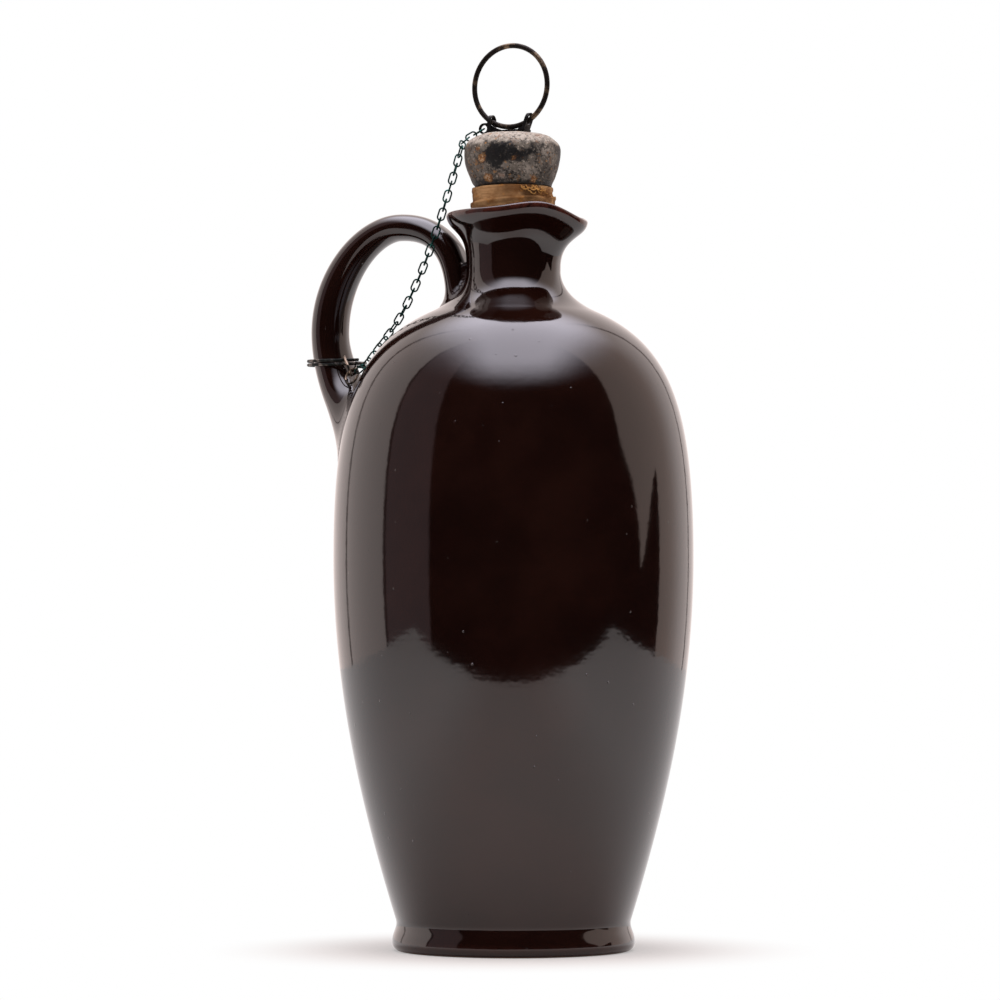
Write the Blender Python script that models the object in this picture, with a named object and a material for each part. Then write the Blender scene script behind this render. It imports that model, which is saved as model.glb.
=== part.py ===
"""Pottery whisky flask: glazed body and strap handle, capped cork stopper, and the chain that joins them.

Metres, +Z up. The flask stands on z = 0 with its axis on Z, the spout along +X and the handle along -X.
"""

import math

import bmesh
import bpy
from mathutils import Matrix, Vector
from mathutils.geometry import interpolate_bezier

# Clearances
SEAM = 0.0003
FINE_SEAM = 0.00015
MERGE_DISTANCE = 1e-7

# Body, from the table upwards
FOOT_RADIUS = 0.0323
FOOT_ROUND = 0.0022
FOOT_HEIGHT = 0.0074
WAIST_RADIUS = 0.0310
BELLY_RADIUS = 0.0480
BELLY_RISE = 0.0976
SHOULDER_RISE = 0.0647
COLLAR_RADIUS = 0.0225
COLLAR_RISE = 0.0113
NECK_RADIUS = 0.0126
NECK_RISE = 0.0139
LIP_FLARE = 0.00515
LIP_THICKNESS = 0.0019
WALL = 0.0045
BASE_THICKNESS = 0.0085
NECK_WALL = 0.0034
THROAT_LENGTH = 0.0075
THROAT_TAPER = 0.0007
SHOULDER_ANGLE = math.radians(24.0)
LIP_ANGLE = math.radians(39.0)
WAIST_FLARE = 0.31
BODY_STEPS = 48

# Spout pulled from the lip
SPOUT_REACH = 0.0026
SPOUT_DROP = 0.0026
SPOUT_SPREAD = math.radians(30.0)
SWELL_RISE = 0.0018
SWELL_ANGLE = math.radians(-41.0)
SWELL_SPREAD = math.radians(31.0)

# Handle, a strap pulled from clay
HANDLE_STANDOFF = 0.0066
HANDLE_SIDE_RISE = 0.061
HANDLE_TOP_RISE = 0.0129
HANDLE_TOP_REACH = 0.0335
UPPER_ROOT_DROP = 0.0105
LOWER_ROOT_RISE = 0.0255
LOWER_ROOT_SINK = 0.0078
ROOT_THICKNESS = 0.0066
TOP_THICKNESS = 0.0072
SIDE_THICKNESS = 0.0096
FOOT_THICKNESS = 0.0120
ROOT_WIDTH = 0.0112
TOP_WIDTH = 0.0110
SIDE_WIDTH = 0.0128
FOOT_WIDTH = 0.0230
HANDLE_SIDES = 16

# Stopper
STOPPER_TURN = math.radians(-3.0)
CORK_DEPTH = 0.0055
WRAP_START = 0.0012
WRAP_THICKNESS = 0.00055
WRAP_BULGE = 0.0011
WRAP_FOLD = 0.00035
CAP_STANDOFF = 0.0148
CAP_HEIGHT = 0.0145
CAP_SKIRT_INSET = 0.0009
CAP_SWELL = 0.0025
CAP_SWELL_RISE = 0.0095
CAP_FLAT_RADIUS = 0.0050
CAP_WALL = 0.0012
SPIGOT_LENGTH = 0.0095
ROD_RADIUS = 0.0012
ROD_HEAD_RADIUS = 0.0021
ROD_END = 0.0006
WASHER_RADIUS = 0.0045
WASHER_THICKNESS = 0.0008
NUT_WIDTH = 0.0050
NUT_THICKNESS = 0.0020
TURNED_STEPS = 32

# Pull ring and its bracket
RING_RADIUS = 0.0109
RING_WIRE = 0.0014
RING_GAP = 0.00025
RING_SHIFT = -0.0008
EAR_SPREAD = 0.0114
EAR_THICKNESS = 0.0010
EAR_RIM = 0.0004
SADDLE_THICKNESS = 0.0018
BRACKET_WIDTH = 0.0040
BRACKET_THICKNESS = 0.0008
TAB_REACH = 0.0018
TAB_RIM = 0.0005
TAB_THICKNESS = 0.0007
TAB_HOLE = 0.0010

# Chain
LINK_LENGTH = 0.0038
LINK_WIDTH = 0.00225
LINK_WIRE = 0.0005
LINK_PLAY = 0.0002
LINK_ROLL = math.radians(38.0)
LINK_ROLL_SPAN = 10
CHAIN_REST = 0.0016
CHAIN_EXIT = math.radians(210.0)
CHAIN_LIP_GAP = 0.0017
CHAIN_HANDLE_GAP = 0.0046
CHAIN_SLACK = 1.018
END_RING_DIAMETER = 0.0052
END_RING_WIRE = 0.0007
END_RING_RISE = -0.0042
END_RING_STANDOFF = 0.0041
END_RING_SIDE = -0.0088
HOOK_WIRE = 0.0008
HOOK_WIDTH = 0.0044

# Split ring on the handle
SPLIT_RADIUS = 0.0078
SPLIT_WIRE = 0.0006
SPLIT_PITCH = 0.00105
SPLIT_TURNS = 2
SPLIT_TURN_STEPS = 22
SPLIT_OFFSET = 0.0007
SPLIT_LEAN = math.radians(3.5)
SPLIT_LEAN_TURN = math.radians(24.0)

# Colours as red, green, blue, with roughness and metallic
GLAZE = ((0.012, 0.005, 0.004), 0.08, 0.0)
CORK_BROWN = ((0.42, 0.27, 0.15), 0.9, 0.0)
TAPE_BROWN = ((0.22, 0.12, 0.065), 0.95, 0.0)
PEWTER = ((0.12, 0.11, 0.10), 0.6, 0.8)
BRONZE = ((0.10, 0.07, 0.05), 0.45, 0.9)
BLACKENED = ((0.015, 0.018, 0.017), 0.5, 0.8)
STEEL = ((0.35, 0.35, 0.36), 0.35, 1.0)

UP = Vector((0.0, 0.0, 1.0))


def bezier(start, first, second, end, steps):
    """Return steps points along one curve span between two (x, z) knots, without the last."""
    knots = [Vector((x, 0.0, z)) for x, z in (start, first, second, end)]
    points = interpolate_bezier(*knots, steps + 1)
    return [(point.x, point.z) for point in points[:-1]]


def offset(points, distances):
    """Move each outline point to the left of its outline's direction, by its own distance."""
    moved = []
    for index, (x, z) in enumerate(points):
        before = Vector(points[max(index - 1, 0)])
        after = Vector(points[min(index + 1, len(points) - 1)])
        along = (after - before).normalized()
        moved.append((x - along.y * distances[index], z + along.x * distances[index]))
    return moved


def smooth_step(share):
    """Return a share from 0 to 1 eased at both ends."""
    share = min(max(share, 0.0), 1.0)
    return share * share * (3.0 - 2.0 * share)


def mix(first, second, share):
    """Return the value a share of the way from first to second."""
    return first + (second - first) * share


class Levels:
    """Heights and radii that more than one piece uses."""

    belly = FOOT_HEIGHT + BELLY_RISE
    collar = belly + SHOULDER_RISE
    neck = collar + COLLAR_RISE
    throat = neck + THROAT_LENGTH
    lip = neck + NECK_RISE
    lip_radius = NECK_RADIUS + LIP_FLARE
    bore = NECK_RADIUS - NECK_WALL
    mouth = bore + THROAT_TAPER
    cork_foot = throat - CORK_DEPTH
    cap_foot = throat + CAP_STANDOFF
    cap_top = cap_foot + CAP_HEIGHT
    wrap_radius = mouth + WRAP_BULGE
    skirt_radius = wrap_radius - CAP_SKIRT_INSET
    cap_radius = skirt_radius + CAP_SWELL
    spigot_radius = skirt_radius - CAP_WALL - SEAM
    bracket_foot = cap_top + FINE_SEAM
    bracket_top = bracket_foot + BRACKET_THICKNESS
    ring_dip = RING_RADIUS - math.sqrt(RING_RADIUS**2 - (EAR_SPREAD / 2) ** 2)
    ring_axis = bracket_top + ring_dip + RING_WIRE / 2 + RING_GAP
    washer_foot = cork_foot - FINE_SEAM - WASHER_THICKNESS
    nut_foot = washer_foot - FINE_SEAM - NUT_THICKNESS
    rod_foot = nut_foot - ROD_END
    split_inner = SPLIT_RADIUS - SPLIT_WIRE / 2


def wall_spans(lower_steps, shoulder_steps, collar_steps):
    """Return the outline of the body's wall from the waist up to the neck, as three lists of points."""
    belly = (BELLY_RADIUS, Levels.belly)
    collar = (COLLAR_RADIUS, Levels.collar)
    neck = (NECK_RADIUS, Levels.neck)
    slope = (math.cos(SHOULDER_ANGLE), math.sin(SHOULDER_ANGLE))
    flare = 0.39 * BELLY_RISE
    lower = bezier(
        (WAIST_RADIUS, FOOT_HEIGHT),
        (WAIST_RADIUS + WAIST_FLARE * flare, FOOT_HEIGHT + flare),
        (BELLY_RADIUS, Levels.belly - 0.31 * BELLY_RISE),
        belly,
        lower_steps,
    )
    drop = 0.31 * SHOULDER_RISE
    shoulder = bezier(
        belly,
        (BELLY_RADIUS, Levels.belly + 0.65 * SHOULDER_RISE),
        (COLLAR_RADIUS + slope[0] * drop, Levels.collar - slope[1] * drop),
        collar,
        shoulder_steps,
    )
    lift = 0.53 * COLLAR_RISE
    throat = bezier(
        collar,
        (COLLAR_RADIUS - slope[0] * lift, Levels.collar + slope[1] * lift),
        (NECK_RADIUS, Levels.neck - 0.44 * COLLAR_RISE),
        neck,
        collar_steps,
    )
    return lower, shoulder, throat


def outer_outline():
    """Return the outside of the body from the edge of its base up to the underside of the lip."""
    centre = FOOT_RADIUS - FOOT_ROUND
    turns = [math.radians(-90 + 30 * step) for step in range(4)]
    foot = [(centre + FOOT_ROUND * math.cos(turn), FOOT_ROUND * (1 + math.sin(turn))) for turn in turns]
    foot.append((mix(FOOT_RADIUS, WAIST_RADIUS, 0.45), mix(FOOT_ROUND, FOOT_HEIGHT, 0.65)))
    lower, shoulder, collar = wall_spans(9, 11, 5)
    edge = (Levels.lip_radius, Levels.lip)
    flare = bezier(
        (NECK_RADIUS, Levels.neck),
        (NECK_RADIUS, Levels.neck + 0.75 * NECK_RISE),
        (NECK_RADIUS, Levels.neck + 0.72 * NECK_RISE),
        edge,
        6,
    )
    return foot + lower + shoulder + collar + flare + [edge]


def rim_outline():
    """Return the rounded edge of the lip and the funnel inside it, down to the throat."""
    out = Vector((math.cos(LIP_ANGLE), math.sin(LIP_ANGLE)))
    over = Vector((-out.y, out.x))
    edge = Vector((Levels.lip_radius, Levels.lip))
    centre = edge + over * (LIP_THICKNESS / 2)
    turns = [math.radians(45 * step) for step in range(1, 4)]
    rim = [centre + (out * math.sin(turn) - over * math.cos(turn)) * (LIP_THICKNESS / 2) for turn in turns]
    inside = edge + over * LIP_THICKNESS
    fall = Levels.lip - Levels.throat
    funnel = bezier(
        tuple(inside),
        tuple(inside - out * 0.7 * fall),
        (Levels.mouth, Levels.throat + 0.5 * fall),
        (Levels.mouth, Levels.throat),
        4,
    )
    return [tuple(point) for point in rim] + funnel


def cavity_outline():
    """Return the inside of the body from the throat down to the middle of its floor."""
    lower, shoulder, collar = wall_spans(5, 7, 3)
    collar_walls = [mix(WALL, NECK_WALL, step / len(collar)) for step in range(len(collar))]
    walls = [WALL] * len(lower + shoulder) + collar_walls
    inside = offset(lower + shoulder + collar, walls)
    inside = [point for point in inside if point[1] > BASE_THICKNESS + FOOT_ROUND]
    floor_corner = (inside[0][0] - FOOT_ROUND, BASE_THICKNESS)
    return [(Levels.mouth, Levels.throat), (Levels.bore, Levels.neck)] + inside[::-1] + [
        floor_corner,
        (0.0, BASE_THICKNESS),
    ]


def spout_flow(point):
    """Return where a point of the plain round lip lies once the spout is pulled from it."""
    turn = math.atan2(point.y, point.x)
    share = smooth_step((point.z - Levels.neck) / NECK_RISE)
    pull = math.exp(-((turn / SPOUT_SPREAD) ** 2)) * share
    swell = math.exp(-(((turn - SWELL_ANGLE) / SWELL_SPREAD) ** 2)) * share
    out = Vector((math.cos(turn), math.sin(turn), 0.0)) * SPOUT_REACH * pull
    return point + out + UP * (SWELL_RISE * swell - SPOUT_DROP * pull)


def material(name, look):
    """Return a named material of the given colour, roughness and metallic value."""
    made = bpy.data.materials.get(name) or bpy.data.materials.new(name)
    made.use_nodes = True
    colour, roughness, metallic = look
    shader = made.node_tree.nodes["Principled BSDF"]
    shader.inputs["Base Color"].default_value = (*colour, 1.0)
    shader.inputs["Roughness"].default_value = roughness
    shader.inputs["Metallic"].default_value = metallic
    made.diffuse_color = (*colour, 1.0)
    return made


def add_object(name, data, look, parent=None):
    """Put mesh or curve data into the scene as a named piece with its material."""
    piece = bpy.data.objects.new(name, data)
    if not data.materials:
        data.materials.append(material(f"{name}_finish", look))
    bpy.context.collection.objects.link(piece)
    piece.parent = parent
    return piece


def add_mesh(name, bm, look, parent=None, sharp=math.radians(40)):
    """Turn a bmesh into a smooth-shaded piece."""
    bmesh.ops.recalc_face_normals(bm, faces=bm.faces)
    mesh = bpy.data.meshes.new(name)
    bm.to_mesh(mesh)
    bm.free()
    mesh.shade_smooth()
    mesh.set_sharp_from_angle(angle=sharp)
    return add_object(name, mesh, look, parent)


def add_empty(name, location, parent=None):
    """Add an empty that carries the pieces of one moving body."""
    empty = bpy.data.objects.new(name, None)
    bpy.context.collection.objects.link(empty)
    empty.location = location
    empty.parent = parent
    return empty


def turned(outline, steps, closed=False):
    """Spin an outline of (radius, height) points once round the Z axis."""
    bm = bmesh.new()
    verts = [bm.verts.new((radius, 0.0, height)) for radius, height in outline]
    following = verts[1:] + verts[:1] if closed else verts[1:]
    edges = [bm.edges.new(pair) for pair in zip(verts, following)]
    bmesh.ops.spin(
        bm,
        geom=verts + edges,
        cent=(0.0, 0.0, 0.0),
        axis=UP,
        angle=2 * math.pi,
        steps=steps,
        use_merge=True,
    )
    bmesh.ops.remove_doubles(bm, verts=bm.verts, dist=MERGE_DISTANCE)
    return bm


def extruded(outline, plane, depth):
    """Fill an outline of flat points, place it by a matrix and extrude it along the matrix's Z."""
    bm = bmesh.new()
    face = bm.faces.new([bm.verts.new((x, y, -depth / 2)) for x, y in outline])
    grown = bmesh.ops.extrude_face_region(bm, geom=[face])
    verts = [item for item in grown["geom"] if isinstance(item, bmesh.types.BMVert)]
    bmesh.ops.translate(bm, verts=verts, vec=(0.0, 0.0, depth))
    bmesh.ops.transform(bm, matrix=plane, verts=bm.verts)
    return bm


def guide(name, bm, parent=None):
    """Add a hidden mesh that cuts or joins another piece."""
    piece = add_mesh(name, bm, STEEL, parent)
    piece.hide_render = True
    piece.display_type = "WIRE"
    return piece


def combine(piece, other, operation):
    """Join another piece to this one, or cut it away, with an exact Boolean."""
    modifier = piece.modifiers.new(f"{operation.lower()} {other.name}", "BOOLEAN")
    modifier.operation = operation
    modifier.solver = "EXACT"
    modifier.object = other


def wire(name, points, diameter, sides_level, closed=True):
    """Return a round wire along a list of points, as curve data."""
    curve = bpy.data.curves.new(name, "CURVE")
    curve.dimensions = "3D"
    curve.bevel_depth = diameter / 2
    curve.bevel_resolution = sides_level
    curve.use_fill_caps = not closed
    spline = curve.splines.new("POLY")
    spline.points.add(len(points) - 1)
    for slot, point in zip(spline.points, points):
        slot.co = (*point, 1.0)
    spline.use_cyclic_u = closed
    return curve


def swept(frames, sides):
    """Skin a closed bar over unit circles placed by matrices, and close its two ends."""
    bm = bmesh.new()
    rings = []
    for frame in frames:
        made = bmesh.ops.create_circle(bm, segments=sides, radius=1.0, matrix=frame)
        rings.append(made["verts"])
    edges = list(bm.edges)
    bmesh.ops.contextual_create(bm, geom=rings[0])
    bmesh.ops.contextual_create(bm, geom=rings[-1])
    for near, far in zip(rings, rings[1:]):
        loop = [edge for edge in edges if edge.verts[0] in near or edge.verts[0] in far]
        bmesh.ops.bridge_loops(bm, edges=loop)
    return bm


def circle(radius, count):
    """Return points evenly round a circle in the XY plane."""
    turns = [2 * math.pi * step / count for step in range(count)]
    return [(radius * math.cos(turn), radius * math.sin(turn), 0.0) for turn in turns]


def oval(length, width, diameter, end_steps=4):
    """Return the centre line of an oval wire link, long along X, from its outside sizes."""
    radius = (width - diameter) / 2
    reach = length / 2 - diameter / 2 - radius
    points = []
    for side in (1, -1):
        turns = [math.pi * (step / end_steps - 0.5) for step in range(end_steps + 1)]
        points += [
            (side * (reach + radius * math.cos(turn)), side * radius * math.sin(turn), 0.0)
            for turn in turns
        ]
    return points


def body_radius(height):
    """Return the outside radius of the body at a height between waist and neck."""
    points = [point for span in wall_spans(24, 24, 12) for point in span]
    for (low_radius, low), (high_radius, high) in zip(points, points[1:]):
        if low <= height <= high:
            return mix(low_radius, high_radius, (height - low) / (high - low))
    return NECK_RADIUS


def handle_line(steps):
    """Return the handle's stations from neck to belly, each a point with its thickness and width."""
    root_height = Levels.belly + LOWER_ROOT_RISE
    top_height = Levels.neck + HANDLE_TOP_RISE
    side_height = Levels.belly + HANDLE_SIDE_RISE
    reach = BELLY_RADIUS + HANDLE_STANDOFF
    root_reach = body_radius(root_height) - LOWER_ROOT_SINK
    start = (-NECK_RADIUS - ROOT_THICKNESS / 2, Levels.neck - UPPER_ROOT_DROP)
    top = (-HANDLE_TOP_REACH, top_height)
    side = (-reach, side_height)
    end = (-root_reach, root_height)
    climb = top_height - start[1]
    run = HANDLE_TOP_REACH + start[0]
    fall = top_height - side_height
    spread = reach - HANDLE_TOP_REACH
    drop = side_height - root_height
    spans = (
        (start, (start[0] + 0.06 * run, start[1] + 0.67 * climb), (top[0] + 0.54 * run, top_height), top),
        (top, (top[0] - 0.46 * spread, top_height), (-reach, side_height + 0.56 * fall), side),
        (side, (-reach, side_height - 0.3 * drop), (end[0] - 0.55 * (reach - root_reach), root_height + 0.38 * drop), end),
    )
    sections = (
        (ROOT_THICKNESS, ROOT_WIDTH),
        (TOP_THICKNESS, TOP_WIDTH),
        (SIDE_THICKNESS, SIDE_WIDTH),
        (FOOT_THICKNESS, FOOT_WIDTH),
    )
    stations = []
    for span, near, far in zip(spans, sections, sections[1:]):
        for step, (x, z) in enumerate(bezier(*span, steps)):
            share = smooth_step(step / steps)
            stations.append((Vector((x, 0.0, z)), mix(near[0], far[0], share), mix(near[1], far[1], share)))
    stations.append((Vector((end[0], 0.0, end[1])), *sections[-1]))
    return stations


def ring_seat():
    """Return the point of the handle's centre line where it grows too wide for the split ring."""
    stations = handle_line(160)
    for point, _, width in stations[len(stations) * 2 // 3:]:
        if width / 2 >= Levels.split_inner - SEAM:
            return point
    return stations[-1][0]


def build_body():
    """Model the hollow body with its foot, neck and pulled lip."""
    outline = [(0.0, 0.0)] + outer_outline() + rim_outline() + cavity_outline()
    bm = turned(outline, BODY_STEPS)
    for vert in bm.verts:
        vert.co = spout_flow(vert.co)
    add_mesh("flask_body", bm, GLAZE)


def build_handle():
    """Model the strap handle and cut its two ends to the outside of the body."""
    stations = handle_line(8)
    frames = []
    for index, (point, thickness, width) in enumerate(stations):
        before = stations[max(index - 1, 0)][0]
        after = stations[min(index + 1, len(stations) - 1)][0]
        along = (after - before).normalized()
        across = along.cross(Vector((0.0, 1.0, 0.0)))
        section = Matrix((across * thickness / 2, Vector((0.0, width / 2, 0.0)), along))
        frames.append(Matrix.Translation(point) @ section.transposed().to_4x4())
    handle = add_mesh("handle", swept(frames, HANDLE_SIDES), GLAZE)

    outline = outer_outline()
    grown = offset(outline, [-SEAM] * len(outline))
    cutter = turned([(0.0, 0.0)] + grown + [(0.0, Levels.lip)], BODY_STEPS)
    combine(handle, guide("body_cutter", cutter), "DIFFERENCE")


def throat_radius(height):
    """Return the bore's radius at a height in the throat, or on its line above it."""
    return Levels.bore + THROAT_TAPER * (height - Levels.neck) / THROAT_LENGTH


def cork_radius(height):
    """Return the cork's radius at a height, which leaves room for its wrap in the throat."""
    return throat_radius(height) - SEAM - WRAP_THICKNESS - FINE_SEAM


def bored(outline, radius):
    """Close an outline that runs from bottom to top down a bore on the axis."""
    return outline + [(radius, outline[-1][1]), (radius, outline[0][1])]


def build_cork(stopper):
    """Model the cork with its spigot inside the cap, and the tape wound round it."""
    bore = ROD_RADIUS + FINE_SEAM
    shoulder = Levels.cap_foot - FINE_SEAM
    outline = [
        (cork_radius(Levels.cork_foot), Levels.cork_foot),
        (cork_radius(shoulder), shoulder),
        (Levels.spigot_radius, shoulder),
        (Levels.spigot_radius, shoulder + SPIGOT_LENGTH),
    ]
    add_mesh("stopper_cork", turned(bored(outline, bore), TURNED_STEPS, closed=True), CORK_BROWN, stopper)

    start = Levels.cork_foot + WRAP_START
    end = Levels.cap_foot - FINE_SEAM
    steps = 12
    outside = []
    for step in range(steps + 1):
        height = mix(start, end, step / steps)
        share = smooth_step((height - Levels.throat) / (Levels.lip - Levels.throat))
        fold = WRAP_FOLD * abs(math.cos(math.pi * 2 * (height - start) / (end - start)))
        visible = Levels.wrap_radius - WRAP_FOLD + fold
        outside.append((mix(throat_radius(height) - SEAM, visible, share), height))
    inside = [(cork_radius(height) + FINE_SEAM, height) for _, height in reversed(outside)]
    add_mesh("cork_wrap", turned(outside + inside[:1] + inside[-1:], TURNED_STEPS, closed=True), TAPE_BROWN, stopper)


def cap_outline(side_steps, crown_steps):
    """Return the cap's outside from its lower edge to the flat of its top, as its side and its crown."""
    swell = (Levels.cap_radius, Levels.cap_foot + CAP_SWELL_RISE)
    round_rise = CAP_HEIGHT - CAP_SWELL_RISE
    side = bezier(
        (Levels.skirt_radius, Levels.cap_foot),
        (Levels.skirt_radius + 0.45 * CAP_SWELL, Levels.cap_foot + 0.25 * CAP_SWELL_RISE),
        (Levels.cap_radius, swell[1] - 0.4 * CAP_SWELL_RISE),
        swell,
        side_steps,
    )
    crown = bezier(
        swell,
        (Levels.cap_radius, swell[1] + 0.65 * round_rise),
        (mix(CAP_FLAT_RADIUS, Levels.cap_radius, 0.55), Levels.cap_top),
        (CAP_FLAT_RADIUS, Levels.cap_top),
        crown_steps,
    )
    return side, crown + [(CAP_FLAT_RADIUS, Levels.cap_top)]


def build_cap(stopper):
    """Model the metal cap as a thin shell that is open below and bored for the rod."""
    side, crown = cap_outline(6, 7)
    outside = side + crown
    side, crown = cap_outline(3, 3)
    inside = offset(side + crown, [CAP_WALL] * len(side + crown))
    bore = ROD_RADIUS + FINE_SEAM
    inside[0] = (Levels.skirt_radius - CAP_WALL, Levels.cap_foot)
    loop = outside + [(bore, Levels.cap_top), (bore, Levels.cap_top - CAP_WALL)] + inside[::-1]
    add_mesh("stopper_cap", turned(loop, TURNED_STEPS, closed=True), PEWTER, stopper)


def build_rod(stopper):
    """Model the countersunk rod, and the washer and nut that clamp the stopper together."""
    head = ROD_HEAD_RADIUS - ROD_RADIUS
    top = Levels.bracket_top
    outline = [
        (0.0, Levels.rod_foot),
        (ROD_RADIUS, Levels.rod_foot),
        (ROD_RADIUS, top - head),
        (ROD_HEAD_RADIUS, top),
        (0.0, top),
    ]
    add_mesh("stopper_rod", turned(outline, 16), STEEL, stopper)

    bore = ROD_RADIUS + FINE_SEAM
    washer = [(WASHER_RADIUS, Levels.washer_foot), (WASHER_RADIUS, Levels.washer_foot + WASHER_THICKNESS)]
    add_mesh("rod_washer", turned(bored(washer, bore), 24, closed=True), STEEL, stopper)

    across = NUT_WIDTH / 2 / math.cos(math.pi / 6)
    nut = [(across, Levels.nut_foot), (across, Levels.nut_foot + NUT_THICKNESS)]
    cutter = turned([(0.0, nut[0][1] - SEAM), (bore, nut[0][1] - SEAM), (bore, nut[1][1] + SEAM), (0.0, nut[1][1] + SEAM)], 16)
    blank = turned([(0.0, nut[0][1])] + nut + [(0.0, nut[1][1])], 6)
    combine(add_mesh("rod_nut", blank, STEEL, stopper), guide("nut_bore", cutter, stopper), "DIFFERENCE")


def ear_hole():
    """Return the radius that lets the curved ring pass through an ear at any swing."""
    lean = math.asin(EAR_SPREAD / 2 / RING_RADIUS)
    return RING_WIRE / 2 / math.cos(lean) + EAR_THICKNESS / 2 * math.tan(lean) + SEAM


def tab_hole_place():
    """Return the middle of the chain's hole in the bracket, in the stopper's own frame."""
    reach = EAR_SPREAD / 2 + EAR_THICKNESS / 2 + TAB_REACH
    return Vector((RING_SHIFT - reach, 0.0, Levels.bracket_foot + FINE_SEAM + TAB_RIM + TAB_HOLE))


def arch(radius, rise, foot, steps=8):
    """Return the outline of an upright tab: straight sides up from a foot, and a round top."""
    turns = [math.pi * step / steps for step in range(steps + 1)]
    crown = [(radius * math.cos(turn), rise + radius * math.sin(turn)) for turn in turns]
    return [(radius, foot)] + crown + [(-radius, foot)]


def saddle(steps=6):
    """Return the outline of the web under one side of the ring's lowest arc, from the rod's head to the ear."""
    reach = RING_RADIUS + RING_WIRE / 2 + RING_GAP
    start = ROD_HEAD_RADIUS + SEAM + abs(RING_SHIFT)
    foot = -BRACKET_THICKNESS / 2
    spots = [mix(start, EAR_SPREAD / 2, step / steps) for step in range(steps + 1)]
    top = [(spot, reach - math.sqrt(reach**2 - spot**2)) for spot in spots]
    return [(spots[-1], foot), *reversed(top), (start, foot)]


def build_bracket(stopper):
    """Model the bracket on the cap: a strip with two ears and a saddle for the ring, and a tab for the chain."""
    place = tab_hole_place()
    half = EAR_SPREAD / 2 + EAR_THICKNESS / 2 + SEAM
    strip = [
        (half, -BRACKET_WIDTH / 2),
        (half, BRACKET_WIDTH / 2),
        (-half, BRACKET_WIDTH / 2),
        (-half, -BRACKET_WIDTH / 2),
    ]
    middle = Matrix.Translation((RING_SHIFT, 0.0, (Levels.bracket_foot + Levels.bracket_top) / 2))
    bracket = add_mesh("ring_bracket", extruded(strip, middle, BRACKET_THICKNESS), BLACKENED, stopper)

    hole = ear_hole()
    upright = Matrix(((0, 0, 1), (1, 0, 0), (0, 1, 0))).to_4x4()
    foot = Levels.bracket_foot + BRACKET_THICKNESS / 2 - Levels.ring_axis
    for side, name in ((1, "right_ear"), (-1, "left_ear")):
        where = Matrix.Translation((RING_SHIFT + side * EAR_SPREAD / 2, 0.0, Levels.ring_axis)) @ upright
        ear = extruded(arch(hole + EAR_RIM, 0.0, foot), where, EAR_THICKNESS)
        combine(bracket, guide(name, ear, stopper), "UNION")

    side_on = Matrix(((1, 0, 0), (0, 0, -1), (0, 1, 0))).to_4x4()
    for side, name in ((1, "right_web"), (-1, "left_web")):
        where = Matrix.Translation((RING_SHIFT, 0.0, Levels.bracket_top)) @ side_on
        web = extruded([(side * x, z) for x, z in saddle()], where, SADDLE_THICKNESS)
        combine(bracket, guide(name, web, stopper), "UNION")

    rim = TAB_HOLE + TAB_RIM
    turns = [math.radians(90 + 180 * step / 8) for step in range(9)]
    inner = TAB_REACH + EAR_THICKNESS / 2
    outline = [(inner, -rim), (inner, rim)] + [(rim * math.cos(turn), rim * math.sin(turn)) for turn in turns]
    tab = extruded(outline, Matrix.Translation(place) @ side_on, TAB_THICKNESS)
    combine(bracket, guide("chain_tab", tab, stopper), "UNION")

    length = EAR_SPREAD + 2 * EAR_THICKNESS
    along = Matrix.Translation((RING_SHIFT, 0.0, Levels.ring_axis)) @ upright
    bore = extruded([point[:2] for point in circle(hole, 20)], along, length)
    combine(bracket, guide("ear_bore", bore, stopper), "DIFFERENCE")
    eye = extruded([point[:2] for point in circle(TAB_HOLE, 16)], Matrix.Translation(place) @ side_on, 2 * TAB_THICKNESS)
    combine(bracket, guide("tab_bore", eye, stopper), "DIFFERENCE")
    head = ROD_HEAD_RADIUS - ROD_RADIUS
    top = Levels.bracket_top
    sink = [
        (0.0, Levels.cap_top),
        (ROD_RADIUS + FINE_SEAM, Levels.cap_top),
        (ROD_RADIUS + FINE_SEAM, top - head),
        (ROD_HEAD_RADIUS + FINE_SEAM, top),
        (ROD_HEAD_RADIUS + FINE_SEAM, top + SEAM),
        (0.0, top + SEAM),
    ]
    combine(bracket, guide("rod_sink", turned(sink, 16), stopper), "DIFFERENCE")


def build_pull_ring(stopper):
    """Model the round wire ring, with its origin on the axis through the ears."""
    rise = RING_RADIUS - Levels.ring_dip
    points = [(x, 0.0, y + rise) for x, y, _ in circle(RING_RADIUS, 36)]
    ring = add_object("pull_ring", wire("pull_ring", points, RING_WIRE, 2), BRONZE, stopper)
    ring.location = (RING_SHIFT, 0.0, Levels.ring_axis)


def split_ring_height(turn):
    """Return how far above the split ring's middle its wire lies after a turn from its lower end."""
    return SPLIT_PITCH * (turn / (2 * math.pi) - SPLIT_TURNS / 2)


def split_ring_lean():
    """Return the small turn by which the split ring leans on the handle."""
    axis = Vector((math.cos(SPLIT_LEAN_TURN), math.sin(SPLIT_LEAN_TURN), 0.0))
    return Matrix.Rotation(SPLIT_LEAN, 4, axis)


def split_ring_frames():
    """Return the sections of the split ring's wire along its flat turns, about the ring's middle."""
    frames = []
    lean = split_ring_lean()
    for step in range(SPLIT_TURNS * SPLIT_TURN_STEPS):
        turn = 2 * math.pi * step / SPLIT_TURN_STEPS
        radial = Vector((math.cos(turn), math.sin(turn), 0.0))
        along = UP.cross(radial)
        section = Matrix((radial * SPLIT_WIRE / 2, UP * SPLIT_WIRE / 2, along)).transposed().to_4x4()
        frames.append(lean @ Matrix.Translation(radial * SPLIT_RADIUS + UP * split_ring_height(turn)) @ section)
    return frames


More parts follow.
